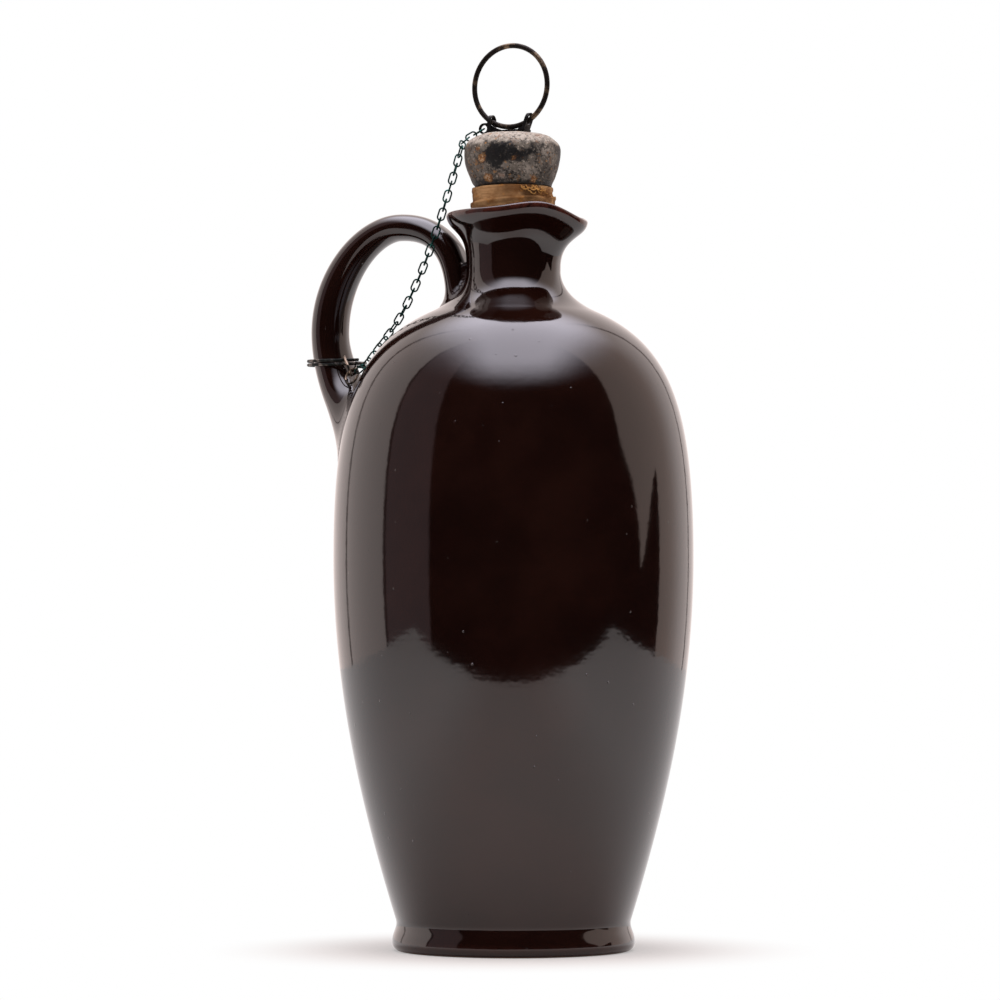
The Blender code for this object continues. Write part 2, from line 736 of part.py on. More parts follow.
def least_gap(points, diameter):
    """Return the least gap between stretches of a wire that are more than half a turn apart."""
    apart = SPLIT_TURN_STEPS // 2
    spans = [
        (points[near] - points[far]).length
        for near in range(len(points))
        for far in range(near + apart, len(points))
    ]
    return min(spans) - diameter


def place_wire(name, data, centre, along, normal, look):
    """Place a flat wire piece by its middle, its long direction and the normal of its plane."""
    along = along.normalized()
    normal = (normal - along * normal.dot(along)).normalized()
    frame = Matrix((along, normal.cross(along), normal)).transposed().to_4x4()
    piece = add_object(name, data, look)
    piece.matrix_world = Matrix.Translation(centre) @ frame


def build_handle_ring(centre):
    """Model the split ring that hangs on the handle."""
    frames = split_ring_frames()
    gap = least_gap([frame.to_translation() for frame in frames], SPLIT_WIRE)
    print(f"split ring: least gap {gap * 1000:.2f} mm")
    ring = add_mesh("handle_ring", swept(frames, 6), BLACKENED)
    ring.location = centre


def hook_hold(centre, end):
    """Return where the hook link holds the split ring's turns, at the side next to the chain's end, and the way out."""
    radial = Vector((end.x - centre.x, end.y - centre.y, 0.0)).normalized()
    turn = math.atan2(radial.y, radial.x) % (2 * math.pi)
    stack = (split_ring_height(turn) + split_ring_height(turn + 2 * math.pi)) / 2
    return centre + split_ring_lean() @ (radial * SPLIT_RADIUS + UP * stack), radial


def build_chain_end(held, radial, end, face):
    """Model the ring that gathers the chain's lower end, and the hook link that ties it to the split ring."""
    radius = (END_RING_DIAMETER - END_RING_WIRE) / 2
    reach = (held - end).normalized()
    data = wire("chain_end_ring", circle(radius, 16), END_RING_WIRE, 1)
    place_wire("chain_end_ring", data, end, reach, face, BLACKENED)

    spread = SPLIT_PITCH / 2 + SPLIT_WIRE / 2
    inner = (held - end).length - radius + spread + END_RING_WIRE / 2 + 2 * FINE_SEAM
    middle = held - reach * (inner / 2 - spread - FINE_SEAM)
    data = wire("hook_link", oval(inner + 2 * HOOK_WIRE, HOOK_WIDTH, HOOK_WIRE), HOOK_WIRE, 1)
    ring_tangent = radial.cross(UP)
    end_tangent = face.cross(reach)
    if end_tangent.dot(ring_tangent) < 0:
        end_tangent = -end_tangent
    place_wire("hook_link", data, middle, reach, ring_tangent + end_tangent, BLACKENED)


def end_ring_place(seat):
    """Return the middle of the ring that gathers the chain's lower end, which stands off the body."""
    height = seat.z + END_RING_RISE
    reach = body_radius(height) + END_RING_STANDOFF
    return Vector((-math.sqrt(reach**2 - END_RING_SIDE**2), END_RING_SIDE, height))


def clear_of_body(point):
    """Return a chain point moved straight out from the axis where it would sink into the body."""
    reach = body_radius(point.z) + LINK_WIDTH / 2 + SEAM
    if point.xy.length >= reach:
        return point
    out = point.xy.normalized() * reach
    return Vector((out.x, out.y, point.z))


def smooth_curve(points, steps):
    """Return dense points along a smooth curve through hand-placed points."""
    dense = []
    last = len(points) - 1
    for index in range(last):
        near, far = points[index], points[index + 1]
        enter = (far - points[max(index - 1, 0)]) / 6
        leave = (points[min(index + 2, last)] - near) / 6
        dense += interpolate_bezier(near, near + enter, far - leave, far, steps + 1)[:-1]
    return dense + [points[last]]


def hanging(start, end, slack, steps):
    """Return points along a chain that hangs between two points and is slack times their distance long."""
    across = Vector((end.x - start.x, end.y - start.y, 0.0))
    run = across.length
    fall = start.z - end.z
    length = slack * (end - start).length
    target = math.sqrt(length**2 - fall**2) / run
    low, high = 1e-4, 10.0
    for _ in range(60):
        guess = (low + high) / 2
        low, high = (guess, high) if math.sinh(guess) / guess < target else (low, guess)
    scale = run / (2 * low)
    middle = scale * math.atanh(fall / length)
    points = []
    for step in range(1, steps + 1):
        place = run * step / steps
        drop = math.cosh((middle + run / 2 - place) / scale) - math.cosh((middle + run / 2) / scale)
        points.append(start + across * (place / run) + UP * scale * drop)
    return points


def chain_route(turn, end):
    """Return the chain's centre line from the bracket's tab, over the cap and past the lip, to its end ring."""
    _, crown = cap_outline(6, 7)
    rest = offset(crown, [-CHAIN_REST] * len(crown))[::-1]
    start = turn @ tab_hole_place()
    first = math.atan2(start.y, start.x) % (2 * math.pi)
    rest = [(radius, height) for radius, height in rest if radius > start.xy.length + LINK_WIDTH]
    route = [start]
    for index, (radius, height) in enumerate(rest):
        way = mix(CHAIN_EXIT, first, (1 - (index + 1) / len(rest)) ** 1.4)
        route.append(Vector((radius * math.cos(way), radius * math.sin(way), height)))
    reach = Levels.lip_radius + CHAIN_LIP_GAP
    side = TOP_WIDTH / 2 + LINK_WIDTH / 2 + CHAIN_HANDLE_GAP
    lip = Vector((-math.sqrt(reach**2 - side**2), -side, Levels.lip + LIP_THICKNESS / 2))
    hung = [clear_of_body(point) for point in hanging(lip, end, CHAIN_SLACK, 6)]
    return smooth_curve(route + [lip] + hung, 12)


def beyond(points, place, near, distance):
    """Return the next place on a line that lies a distance from one place, and its position along the line."""
    for index in range(near, len(points) - 1):
        if (points[index + 1] - place).length >= distance:
            low, high = 0.0, 1.0
            for _ in range(40):
                guess = (low + high) / 2
                found = points[index].lerp(points[index + 1], guess)
                low, high = (guess, high) if (found - place).length < distance else (low, guess)
            return found, index
    return points[-1], len(points) - 1


def hinge_places(route, first, pitch, count):
    """Return the points where the chain's links meet, each a straight pitch from the one before."""
    places = [route[0]]
    near = 0
    for step in range(count + 1):
        place, near = beyond(route, places[-1], near, first if step == 0 else pitch)
        places.append(place)
    return places


def chain_places(route, end):
    """Return the points where the chain's pieces meet, from the tab's hole to the end ring's wire."""
    total = sum((far - near).length for near, far in zip(route, route[1:]))
    overlap = (LINK_WIRE + LINK_PLAY) / 2
    first = LINK_LENGTH - LINK_WIRE - overlap
    last = (END_RING_DIAMETER - END_RING_WIRE) / 2 - overlap
    pitch = LINK_LENGTH - 2 * LINK_WIRE - LINK_PLAY
    count = round((total - first - last) / pitch)
    low, high = 0.9 * pitch, 1.1 * pitch
    for _ in range(40):
        guess = (low + high) / 2
        short = (hinge_places(route, first, guess, count)[-1] - end).length > last
        low, high = (guess, high) if short else (low, guess)
    print(f"chain: {count} links, pitch {low * 1000:.3f} mm, route {total * 1000:.1f} mm")
    return hinge_places(route, first, low, count)


def link_frames(places):
    """Return each link's direction and the normal of its plane, square to the link before it."""
    frames = []
    along = (places[1] - places[0]).normalized()
    flat = (UP - along * UP.dot(along)).normalized()
    for index, (near, far) in enumerate(zip(places, places[1:])):
        bend = along.rotation_difference(far - near)
        along = (far - near).normalized()
        flat = bend @ flat
        roll = Matrix.Rotation(LINK_ROLL * smooth_step(index / LINK_ROLL_SPAN), 3, along)
        frames.append((along, roll @ (flat if index % 2 == 0 else flat.cross(along))))
    return frames


def build_chain(turn, end, held):
    """Thread the top ring and the links along the chain's route, and return the normal of its end ring."""
    places = chain_places(chain_route(turn, end), end)
    frames = link_frames(places)
    along, normal = frames[-1]
    face = along.cross(held - end).normalized()
    wanted = face.cross(along)
    twist = math.atan2(along.dot(normal.cross(wanted)), normal.dot(wanted))
    twist = (twist + math.pi / 2) % math.pi - math.pi / 2

    half = (LINK_LENGTH - LINK_WIRE) / 2
    ring_data = wire("chain_top_ring", circle(half, 14), LINK_WIRE, 1)
    link_data = wire("chain_link", oval(LINK_LENGTH, LINK_WIDTH, LINK_WIRE), LINK_WIRE, 1)
    for index, (along, normal) in enumerate(frames):
        near, far = places[index], places[index + 1]
        share = smooth_step((index + 1 - len(frames) + LINK_ROLL_SPAN) / LINK_ROLL_SPAN)
        normal = Matrix.Rotation(twist * share, 3, along) @ normal
        if index == 0:
            place_wire("chain_top_ring", ring_data, near + along * half, along, normal, BLACKENED)
        else:
            place_wire(f"chain_link_{index:02d}", link_data, (near + far) / 2, along, normal, BLACKENED)
    return face


def build_stopper():
    """Model the stopper about its own upright axis and return the turn that places it."""
    stopper = add_empty("stopper_axis", (0.0, 0.0, 0.0))
    stopper.rotation_euler.z = STOPPER_TURN
    build_cork(stopper)
    build_cap(stopper)
    build_rod(stopper)
    build_bracket(stopper)
    build_pull_ring(stopper)
    return Matrix.Rotation(STOPPER_TURN, 3, "Z")


def main():
    """Model every piece of the flask."""
    for piece in list(bpy.data.objects):
        bpy.data.objects.remove(piece)
    build_body()
    build_handle()
    turn = build_stopper()
    seat = ring_seat()
    centre = seat + Vector((SPLIT_OFFSET, 0.0, 0.0))
    end = end_ring_place(seat)
    build_handle_ring(centre)
    held, radial = hook_hold(centre, end)
    face = build_chain(turn, end, held)
    build_chain_end(held, radial, end, face)


main()
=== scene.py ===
"""Looks of the pottery whisky flask.

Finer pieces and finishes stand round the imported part, on a pale table in a light tent, before a camera.
Metres, +Z up. The flask stands on z = 0 with its axis on Z, the spout along +X and the handle along -X.
"""

import logging
import math
from collections.abc import Iterable, Sequence
from dataclasses import dataclass
from enum import Enum
from functools import cache, partial, reduce
from typing import Any

import bmesh
import bpy
import numpy as np
from mathutils import Matrix, Vector, noise
from mathutils.geometry import interpolate_bezier


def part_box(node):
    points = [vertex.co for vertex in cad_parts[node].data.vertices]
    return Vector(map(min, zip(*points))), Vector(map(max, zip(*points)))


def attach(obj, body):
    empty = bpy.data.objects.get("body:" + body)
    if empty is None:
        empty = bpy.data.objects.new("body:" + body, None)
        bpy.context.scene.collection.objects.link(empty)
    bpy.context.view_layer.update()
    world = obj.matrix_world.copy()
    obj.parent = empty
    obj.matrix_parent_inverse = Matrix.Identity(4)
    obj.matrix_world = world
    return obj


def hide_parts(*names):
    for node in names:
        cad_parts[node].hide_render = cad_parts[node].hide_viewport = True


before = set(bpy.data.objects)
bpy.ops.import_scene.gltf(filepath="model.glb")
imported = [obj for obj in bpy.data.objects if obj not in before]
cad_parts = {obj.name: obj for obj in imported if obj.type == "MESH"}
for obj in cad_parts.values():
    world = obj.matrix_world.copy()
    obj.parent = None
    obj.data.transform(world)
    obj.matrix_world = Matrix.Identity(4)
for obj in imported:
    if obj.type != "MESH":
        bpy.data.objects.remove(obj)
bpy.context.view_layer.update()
LOG = logging.getLogger("flask")

UP = Vector((0.0, 0.0, 1.0))
ORIGIN = (0.0, 0.0, 0.0)
WHITE = (1.0, 1.0, 1.0)
FULL_TURN = 2 * math.pi
MERGE_DISTANCE = 1e-7
SAME_DIGITS = 7
SEAM = 0.0003
FINE_SEAM = 0.00015

Pair = tuple[float, float]
Triple = tuple[float, float, float]
Colour = Triple
Place = Triple
Point = Sequence[float]
Outline = list[Pair]
Station = tuple[Vector, float, float]
Mesh = bmesh.types.BMesh
Vert = bmesh.types.BMVert
Edge = bmesh.types.BMEdge
Socket = bpy.types.NodeSocket
NodeTree = bpy.types.NodeTree
Material = bpy.types.Material
Piece = bpy.types.Object


class Body(Enum):
    """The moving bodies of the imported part."""

    FLASK = "flask"
    STOPPER = "stopper"
    PULL_RING = "pull_ring"
    CHAIN = "chain"
    HANDLE_RING = "handle_ring"


class Slot(Enum):
    """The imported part's material slots that pieces here wear."""

    GLAZE = "glaze"
    TAPE = "tape"
    CAP = "cap_metal"
    RING = "ring_metal"
    BLACKENED = "blackened_metal"


def mix(first: float, second: float, share: float) -> float:
    """Return the value a share of the way from first to second."""
    return first + (second - first) * share


def smooth_step(share: float) -> float:
    """Return a share from 0 to 1 eased at both ends."""
    share = min(max(share, 0.0), 1.0)
    return share * share * (3.0 - 2.0 * share)


def faded(value: float, fade: Pair) -> float:
    """Return how far a value has come through a fade of (start, length), from 0 to 1."""
    return smooth_step((value - fade[0]) / fade[1])


def bezier(start: Point, first: Point, second: Point, end: Point, steps: int) -> Outline:
    """Return points along one curve span between two (radius, height) knots, without the last.

    Args:
        start: The knot where the span begins.
        first: The handle that leaves the start.
        second: The handle that enters the end.
        end: The knot where the span ends.
        steps: How many points the span gets.

    Returns:
        The points as (radius, height) pairs.
    """
    knots = [Vector((x, 0.0, z)) for x, z in (start, first, second, end)]
    return [(point.x, point.z) for point in interpolate_bezier(*knots, steps + 1)[:-1]]


def offset(points: Outline, distances: Sequence[float]) -> Outline:
    """Move each outline point to the left of its outline's direction.

    Args:
        points: The outline.
        distances: How far each point moves.

    Returns:
        The moved outline.
    """
    moved = []
    for index, (x, z) in enumerate(points):
        before = Vector(points[max(index - 1, 0)])
        after = Vector(points[min(index + 1, len(points) - 1)])
        along = (after - before).normalized()
        moved.append((x - along.y * distances[index], z + along.x * distances[index]))
    return moved


def turned(outline: Outline, steps: int, closed: bool = False) -> Mesh:
    """Spin an outline of (radius, height) points once round the Z axis.

    Args:
        outline: The points, from bottom to top on the outside.
        steps: How many steps the turn has.
        closed: Whether the last point joins the first.

    Returns:
        The turned mesh.
    """
    bm = bmesh.new()
    verts = [bm.verts.new((radius, 0.0, height)) for radius, height in outline]
    following = verts[1:] + verts[:1] if closed else verts[1:]
    edges = [bm.edges.new(pair) for pair in zip(verts, following)]
    bmesh.ops.spin(
        bm,
        geom=verts + edges,
        cent=ORIGIN,
        axis=UP,
        angle=FULL_TURN,
        steps=steps,
        use_merge=True,
    )
    bmesh.ops.remove_doubles(bm, verts=bm.verts, dist=MERGE_DISTANCE)
    bmesh.ops.recalc_face_normals(bm, faces=bm.faces)
    return bm


def skinned(bm: Mesh, frames: Sequence[Matrix], sides: int) -> list[list[Vert]]:
    """Skin a bar over unit circles placed by matrices, and close its two ends.

    Args:
        bm: The mesh that gets the bar.
        frames: The place of each section, from one end to the other.
        sides: How many sides the bar has.

    Returns:
        The vertices of each section.
    """
    rings = []
    loops = []
    for place in frames:
        before = set(bm.edges)
        rings.append(bmesh.ops.create_circle(bm, segments=sides, radius=1.0, matrix=place)["verts"])
        loops.append([edge for edge in bm.edges if edge not in before])
    bmesh.ops.contextual_create(bm, geom=rings[0])
    bmesh.ops.contextual_create(bm, geom=rings[-1])
    for near, far in zip(loops, loops[1:]):
        bmesh.ops.bridge_loops(bm, edges=near + far)
    return rings


def add_piece(
    name: str,
    bm: Mesh,
    look: Material,
    body: Body,
    replaced: Iterable[str] = (),
) -> Piece:
    """Turn a mesh into a smooth-shaded piece that rides on a body.

    Args:
        name: The piece's name.
        bm: Its mesh, which is freed.
        look: Its material.
        body: The body that carries it.
        replaced: The CAD nodes that it stands for.

    Returns:
        The piece's object.
    """
    mesh = bpy.data.meshes.new(name)
    bm.to_mesh(mesh)
    bm.free()
    mesh.shade_smooth()
    mesh.materials.append(look)
    piece = bpy.data.objects.new(name, mesh)
    bpy.context.scene.collection.objects.link(piece)
    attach(piece, body.value)
    nodes = list(replaced)
    if nodes:
        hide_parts(*nodes)
    LOG.info("%s: %d faces on %s", name, len(mesh.polygons), body.value)
    return piece


class Nodes:
    """Adds and links the nodes of one material, world or node group."""

    def __init__(self, tree: NodeTree) -> None:
        """Keep the tree that gets the nodes."""
        self.tree = tree

    def feed(self, socket: Socket, value: Any) -> None:
        """Link a socket to another, or set its value.

        Args:
            socket: The input to feed.
            value: An output socket, a number, a colour or a vector.
        """
        if isinstance(value, Socket):
            self.tree.links.new(value, socket)
        elif isinstance(value, tuple) and socket.type == "RGBA":
            socket.default_value = (*value, 1.0)
        else:
            socket.default_value = value

    def add(self, kind: str, values: dict[str | int, Any] | None = None, **settings: Any) -> bpy.types.Node:
        """Add a node.

        Args:
            kind: The node's type name.
            values: What its inputs get, by name or place.
            **settings: The node's own settings.

        Returns:
            The node.
        """
        node = self.tree.nodes.new(kind)
        for name, setting in settings.items():
            setattr(node, name, setting)
        for key, value in (values or {}).items():
            self.feed(node.inputs[key], value)
        return node

    def place(self) -> Socket:
        """Return the Object coordinates."""
        return self.add("ShaderNodeTexCoord").outputs["Object"]

    def attribute(self, name: str) -> Socket:
        """Return a piece's own named value."""
        return self.add("ShaderNodeAttribute", attribute_name=name).outputs["Fac"]

    def math(self, operation: str, first: Any, second: Any = 0.0) -> Socket:
        """Return the result of one sum on two values."""
        return self.add("ShaderNodeMath", {0: first, 1: second}, operation=operation).outputs[0]

    def times(self, first: Any, second: Any) -> Socket:
        """Return the product of two values."""
        return self.math("MULTIPLY", first, second)

    def plus(self, first: Any, second: Any) -> Socket:
        """Return the sum of two values."""
        return self.math("ADD", first, second)

    def minus(self, first: Any, second: Any) -> Socket:
        """Return the first value less the second."""
        return self.math("SUBTRACT", first, second)

    def vector_math(self, operation: str, first: Any, second: Any) -> bpy.types.Node:
        """Return a node that works on two vectors."""
        return self.add("ShaderNodeVectorMath", {0: first, 1: second}, operation=operation)

    def axis(self, vector: Any, name: str) -> Socket:
        """Return one axis of a vector."""
        return self.add("ShaderNodeSeparateXYZ", {0: vector}).outputs[name]

    def stretch(self, vector: Any, scale: Sequence[float]) -> Socket:
        """Return coordinates stretched along each axis."""
        return self.vector_math("MULTIPLY", vector, tuple(scale)).outputs[0]

    def ramp(self, value: Any, low: Any, high: Any, start: Any = 0.0, end: Any = 1.0) -> Socket:
        """Return a value eased from start to end while it grows from low to high."""
        values = {"Value": value, "From Min": low, "From Max": high, "To Min": start, "To Max": end}
        return self.add("ShaderNodeMapRange", values, interpolation_type="SMOOTHSTEP").outputs[0]

    def blend(self, share: Any, first: Any, second: Any) -> Socket:
        """Return a colour the share of the way from first to second."""
        values = {0: share, 6: first, 7: second}
        return self.add("ShaderNodeMix", values, data_type="RGBA").outputs[2]

    def paint(self, colour: Any, over: Any, mask: Any, strength: float) -> Socket:
        """Return a colour with another laid over it where a mask says."""
        return self.blend(self.times(mask, strength), colour, over)

    def cloud(self, vector: Any, scale: float, detail: float = 3.0, rough: float = 0.55) -> Socket:
        """Return soft noise about one half, with so many features in a metre and so many finer layers."""
        values = {"Vector": vector, "Scale": scale, "Detail": detail, "Roughness": rough}
        return self.add("ShaderNodeTexNoise", values).outputs[0]

    def fill(self, node: bpy.types.Node, **values: Any) -> None:
        """Feed a node's inputs, by name with spaces as underscores."""
        for name, value in values.items():
            self.feed(node.inputs[name.replace("_", " ")], value)

    def group(self, tree: NodeTree, **values: Any) -> Socket:
        """Place a shared effect and return its only output.

        Args:
            tree: The shared node group.
            **values: Its inputs, by name with spaces as underscores.

        Returns:
            The effect's output.
        """
        node = self.add("ShaderNodeGroup", node_tree=tree)
        self.fill(node, **values)
        return node.outputs[0]

    def bump(self, height: Any, strength: float, distance: float, normal: Any = None) -> Socket:
        """Return a normal that a height field tilts.

        Args:
            height: The height.
            strength: How much of it shows.
            distance: The height of one unit, in metres.
            normal: A normal that is already tilted.

        Returns:
            The tilted normal.
        """
        values = {"Height": height, "Strength": strength, "Distance": distance}
        node = self.add("ShaderNodeBump", values)
        if normal is not None:
            self.feed(node.inputs["Normal"], normal)
        return node.outputs[0]


class Effects:
    """Shared effects, each built once as a node group."""

    PATCH_ROUGHNESS = 0.6
    LEAST_SPECK = 0.4
    SPECK_CORE = 0.5

    @staticmethod
    def _start(name: str, labels: Sequence[str]) -> tuple[Nodes, Any, Socket]:
        """Start a node group that makes a mask from coordinates and a few values.

        Args:
            name: The group's name.
            labels: The names of the values.

        Returns:
            The nodes, the group's inputs, and the socket that takes its result.
        """
        tree = bpy.data.node_groups.new(name, "ShaderNodeTree")
        tree.interface.new_socket("Vector", in_out="INPUT", socket_type="NodeSocketVector")
        for label in labels:
            tree.interface.new_socket(label, in_out="INPUT", socket_type="NodeSocketFloat")
        tree.interface.new_socket("Mask", in_out="OUTPUT", socket_type="NodeSocketFloat")
        nodes = Nodes(tree)
        source = nodes.add("NodeGroupInput").outputs
        target = nodes.add("NodeGroupOutput").inputs[0]
        return nodes, source, target

    @classmethod
    @cache
    def patches(cls) -> NodeTree:
        """Make irregular patches with soft edges, for stains, wear and thin places.

        Returns:
            The node group.
        """
        nodes, source, target = cls._start("soft_patches", ("Scale", "Detail", "Low", "High"))
        values = {label: source[label] for label in ("Vector", "Scale", "Detail")}
        values["Roughness"] = cls.PATCH_ROUGHNESS
        waves = nodes.add("ShaderNodeTexNoise", values).outputs[0]
        nodes.feed(target, nodes.ramp(waves, source["Low"], source["High"]))
        return nodes.tree

    @classmethod
    @cache
    def specks(cls) -> NodeTree:
        """Make small round specks in some cells of a scatter, for pits, grit and spots.

        Returns:
            The node group.
        """
        nodes, source, target = cls._start("scattered_specks", ("Scale", "Size", "Share"))
        cells = nodes.add("ShaderNodeTexVoronoi", {label: source[label] for label in ("Vector", "Scale")})
        chance = nodes.add("ShaderNodeSeparateColor", {0: cells.outputs["Color"]})
        chosen = nodes.math("LESS_THAN", chance.outputs[0], source["Share"])
        size = nodes.times(source["Size"], nodes.plus(chance.outputs[1], cls.LEAST_SPECK))
        core = nodes.times(size, cls.SPECK_CORE)
        dot = nodes.ramp(cells.outputs["Distance"], core, size, 1.0, 0.0)
        nodes.feed(target, nodes.times(dot, chosen))
        return nodes.tree


@dataclass(frozen=True)
class Patches:
    """Irregular patches: how many a metre holds, their finer layers, and where their edges fade."""

    scale: float
    detail: float
    low: float
    high: float

    def mask(self, nodes: Nodes, place: Any) -> Socket:
        """Return where the patches lie."""
        values = {"Scale": self.scale, "Detail": self.detail, "Low": self.low, "High": self.high}
        return nodes.group(Effects.patches(), Vector=place, **values)


@dataclass(frozen=True)
class Specks:
    """Scattered round specks: how many a metre holds, their size, and the share of places that have one."""

    scale: float
    size: float
    share: float

    def mask(self, nodes: Nodes, place: Any) -> Socket:
        """Return where the specks lie."""
        return nodes.group(Effects.specks(), Vector=place, Scale=self.scale, Size=self.size, Share=self.share)


@dataclass(frozen=True)
class Stain:
    """One stain: its middle, the radii between which it fades, and how ragged its edge is."""

    middle: Place
    inner: float
    outer: float
    ragged: float

    def mask(self, nodes: Nodes, place: Any, wander: Any) -> Socket:
        """Return where the stain lies.

        Args:
            nodes: The material's nodes.
            place: The coordinates.
            wander: A noise about one half that frays the edge.

        Returns:
            The mask.
        """
        reach = nodes.vector_math("DISTANCE", place, self.middle).outputs["Value"]
        fray = nodes.times(nodes.minus(wander, 0.5), self.ragged)
        return nodes.ramp(nodes.plus(reach, fray), self.inner, self.outer, 1.0, 0.0)

    @staticmethod
    def strongest(stains: Sequence["Stain"], nodes: Nodes, place: Any, wander: Any) -> Socket:
        """Return where any of several stains lies."""
        masks = [stain.mask(nodes, place, wander) for stain in stains]
        return reduce(partial(nodes.math, "MAXIMUM"), masks)


def new_material(name: str, **uniform: Any) -> tuple[Material, Nodes, bpy.types.Node]:
    """Start a material whose Principled shader has the given uniform values.

    Args:
        name: The material's name.
        **uniform: Values of the shader's sockets, by name with spaces as underscores.

    Returns:
        The material, its nodes and its shader.
    """
    made = bpy.data.materials.new(name)
    made.use_nodes = True
    nodes = Nodes(made.node_tree)
    shader = made.node_tree.nodes["Principled BSDF"]
    nodes.fill(shader, **uniform)
    return made, nodes, shader


@dataclass(frozen=True)
class TreacleGlaze:
    """Thick brown-black glaze that breaks to warm brown where it is thin, over bare clay under the foot.

    A bump holds its strength and the height of one unit.
    """

    deep: Colour = (0.0066, 0.0017, 0.0011)
    pale: Colour = (0.0135, 0.0040, 0.0027)
    thin: Colour = (0.062, 0.0145, 0.0095)
    grit: Colour = (0.030, 0.016, 0.011)
    clay: Colour = (0.27, 0.145, 0.085)
    refraction: float = 1.62
    drift: Patches = Patches(34.0, 3.0, 0.35, 0.7)
    breaks: Patches = Patches(420.0, 4.0, 0.25, 0.6)
    pinholes: Specks = Specks(200.0, 0.062, 0.85)
    pinhole_fade: Pair = (0.06, 0.095)
    pinhole_least: float = 0.1
    pinhole_tone: float = 0.55
    pinhole_bump: Pair = (0.9, 0.0006)
    gloss: float = 0.055
    hazy_gloss: float = 0.09
    haze: Pair = (60.0, 2.0)
    haze_span: Pair = (0.3, 0.75)
    thin_rough: float = 0.06
    clay_rough: float = 0.7
    peel: Pair = (260.0, 2.0)
    peel_share: float = 0.35
    rings: Pair = (1.0, 2.0)
    ring_stretch: Place = (6.0, 6.0, 210.0)
    ring_share: float = 0.4
    ripple_bump: Pair = (0.15, 0.00035)

    def material(self) -> Material:
        """Mix the glaze from its tones, pinholes and ripples.

        Returns:
            The material.
        """
        made, nodes, shader = new_material("treacle_glaze", IOR=self.refraction)
        place = nodes.place()
        colour = nodes.blend(self.drift.mask(nodes, place), self.deep, self.pale)
        edge = nodes.times(nodes.attribute("thin_glaze"), self.breaks.mask(nodes, place))
        colour = nodes.blend(edge, colour, self.thin)
        low = nodes.ramp(nodes.axis(place, "Z"), *self.pinhole_fade, 1.0, self.pinhole_least)
        pinholes = nodes.times(self.pinholes.mask(nodes, place), low)
        colour = nodes.paint(colour, self.grit, pinholes, self.pinhole_tone)
        bare = nodes.attribute("bare_clay")
        colour = nodes.blend(bare, colour, self.clay)

        rough = nodes.ramp(nodes.cloud(place, *self.haze), *self.haze_span, self.gloss, self.hazy_gloss)
        rough = nodes.plus(rough, nodes.times(edge, self.thin_rough))
        rough = nodes.plus(rough, nodes.times(bare, self.clay_rough))

        peel = nodes.times(nodes.cloud(place, *self.peel), self.peel_share)
        rings = nodes.cloud(nodes.stretch(place, self.ring_stretch), *self.rings)
        relief = nodes.plus(peel, nodes.times(rings, self.ring_share))
        normal = nodes.bump(relief, *self.ripple_bump)
        normal = nodes.bump(pinholes, *self.pinhole_bump, normal)
        nodes.fill(shader, Base_Color=colour, Roughness=rough, Normal=normal)
        return made


@dataclass(frozen=True)
class OldMetal:
    """Tarnished wire or bar: a dark skin, a worn tone in patches and a dry bloom in scattered specks."""

    name: str
    dark: Colour
    worn: Colour
    bloom: Colour
    wear_span: Pair = (0.5, 0.72)
    wear_detail: float = 4.0
    scale: float = 420.0
    metallic: float = 0.75
    smooth: float = 0.34
    dry: float = 0.6
    bloom_scale: float = 3.2
    bloom_size: float = 0.42
    bloom_share: float = 0.32
    bloom_tone: float = 0.6
    bloom_rough: float = 0.12
    pit_scale: float = 4.0
    pit_bump: Pair = (0.35, 0.00008)

    def material(self) -> Material:
        """Lay the metal's wear and bloom over its dark skin.

        Returns:
            The material.
        """
        made, nodes, shader = new_material(self.name, Metallic=self.metallic)
        place = nodes.place()
        worn = Patches(self.scale, self.wear_detail, *self.wear_span).mask(nodes, place)
        specks = Specks(self.bloom_scale * self.scale, self.bloom_size, self.bloom_share)
        bloom = specks.mask(nodes, place)
        colour = nodes.blend(worn, self.dark, self.worn)
        colour = nodes.paint(colour, self.bloom, bloom, self.bloom_tone)
        rough = nodes.ramp(worn, 0.0, 1.0, self.dry, self.smooth)
        rough = nodes.plus(rough, nodes.times(bloom, self.bloom_rough))
        normal = nodes.bump(nodes.cloud(place, self.pit_scale * self.scale), *self.pit_bump)
        nodes.fill(shader, Base_Color=colour, Roughness=rough, Normal=normal)
        return made


METALS = (
    OldMetal("blackened_wire", (0.005, 0.034, 0.029), (0.026, 0.150, 0.125), (0.020, 0.120, 0.098)),
    OldMetal("black_saddle", (0.004, 0.004, 0.004), (0.014, 0.013, 0.012), (0.010, 0.011, 0.010)),
    OldMetal("bronzed_hook", (0.020, 0.016, 0.013), (0.32, 0.24, 0.18), (0.09, 0.07, 0.05), (0.50, 0.62)),
    OldMetal("grey_split_ring", (0.012, 0.015, 0.014), (0.20, 0.17, 0.15), (0.05, 0.055, 0.05), (0.46, 0.66)),
    OldMetal("tarnished_ring", (0.014, 0.010, 0.008), (0.20, 0.14, 0.088), (0.10, 0.072, 0.05), scale=300.0),
    OldMetal("dull_steel", (0.12, 0.115, 0.11), (0.34, 0.33, 0.32), (0.16, 0.09, 0.05), metallic=0.95),
)


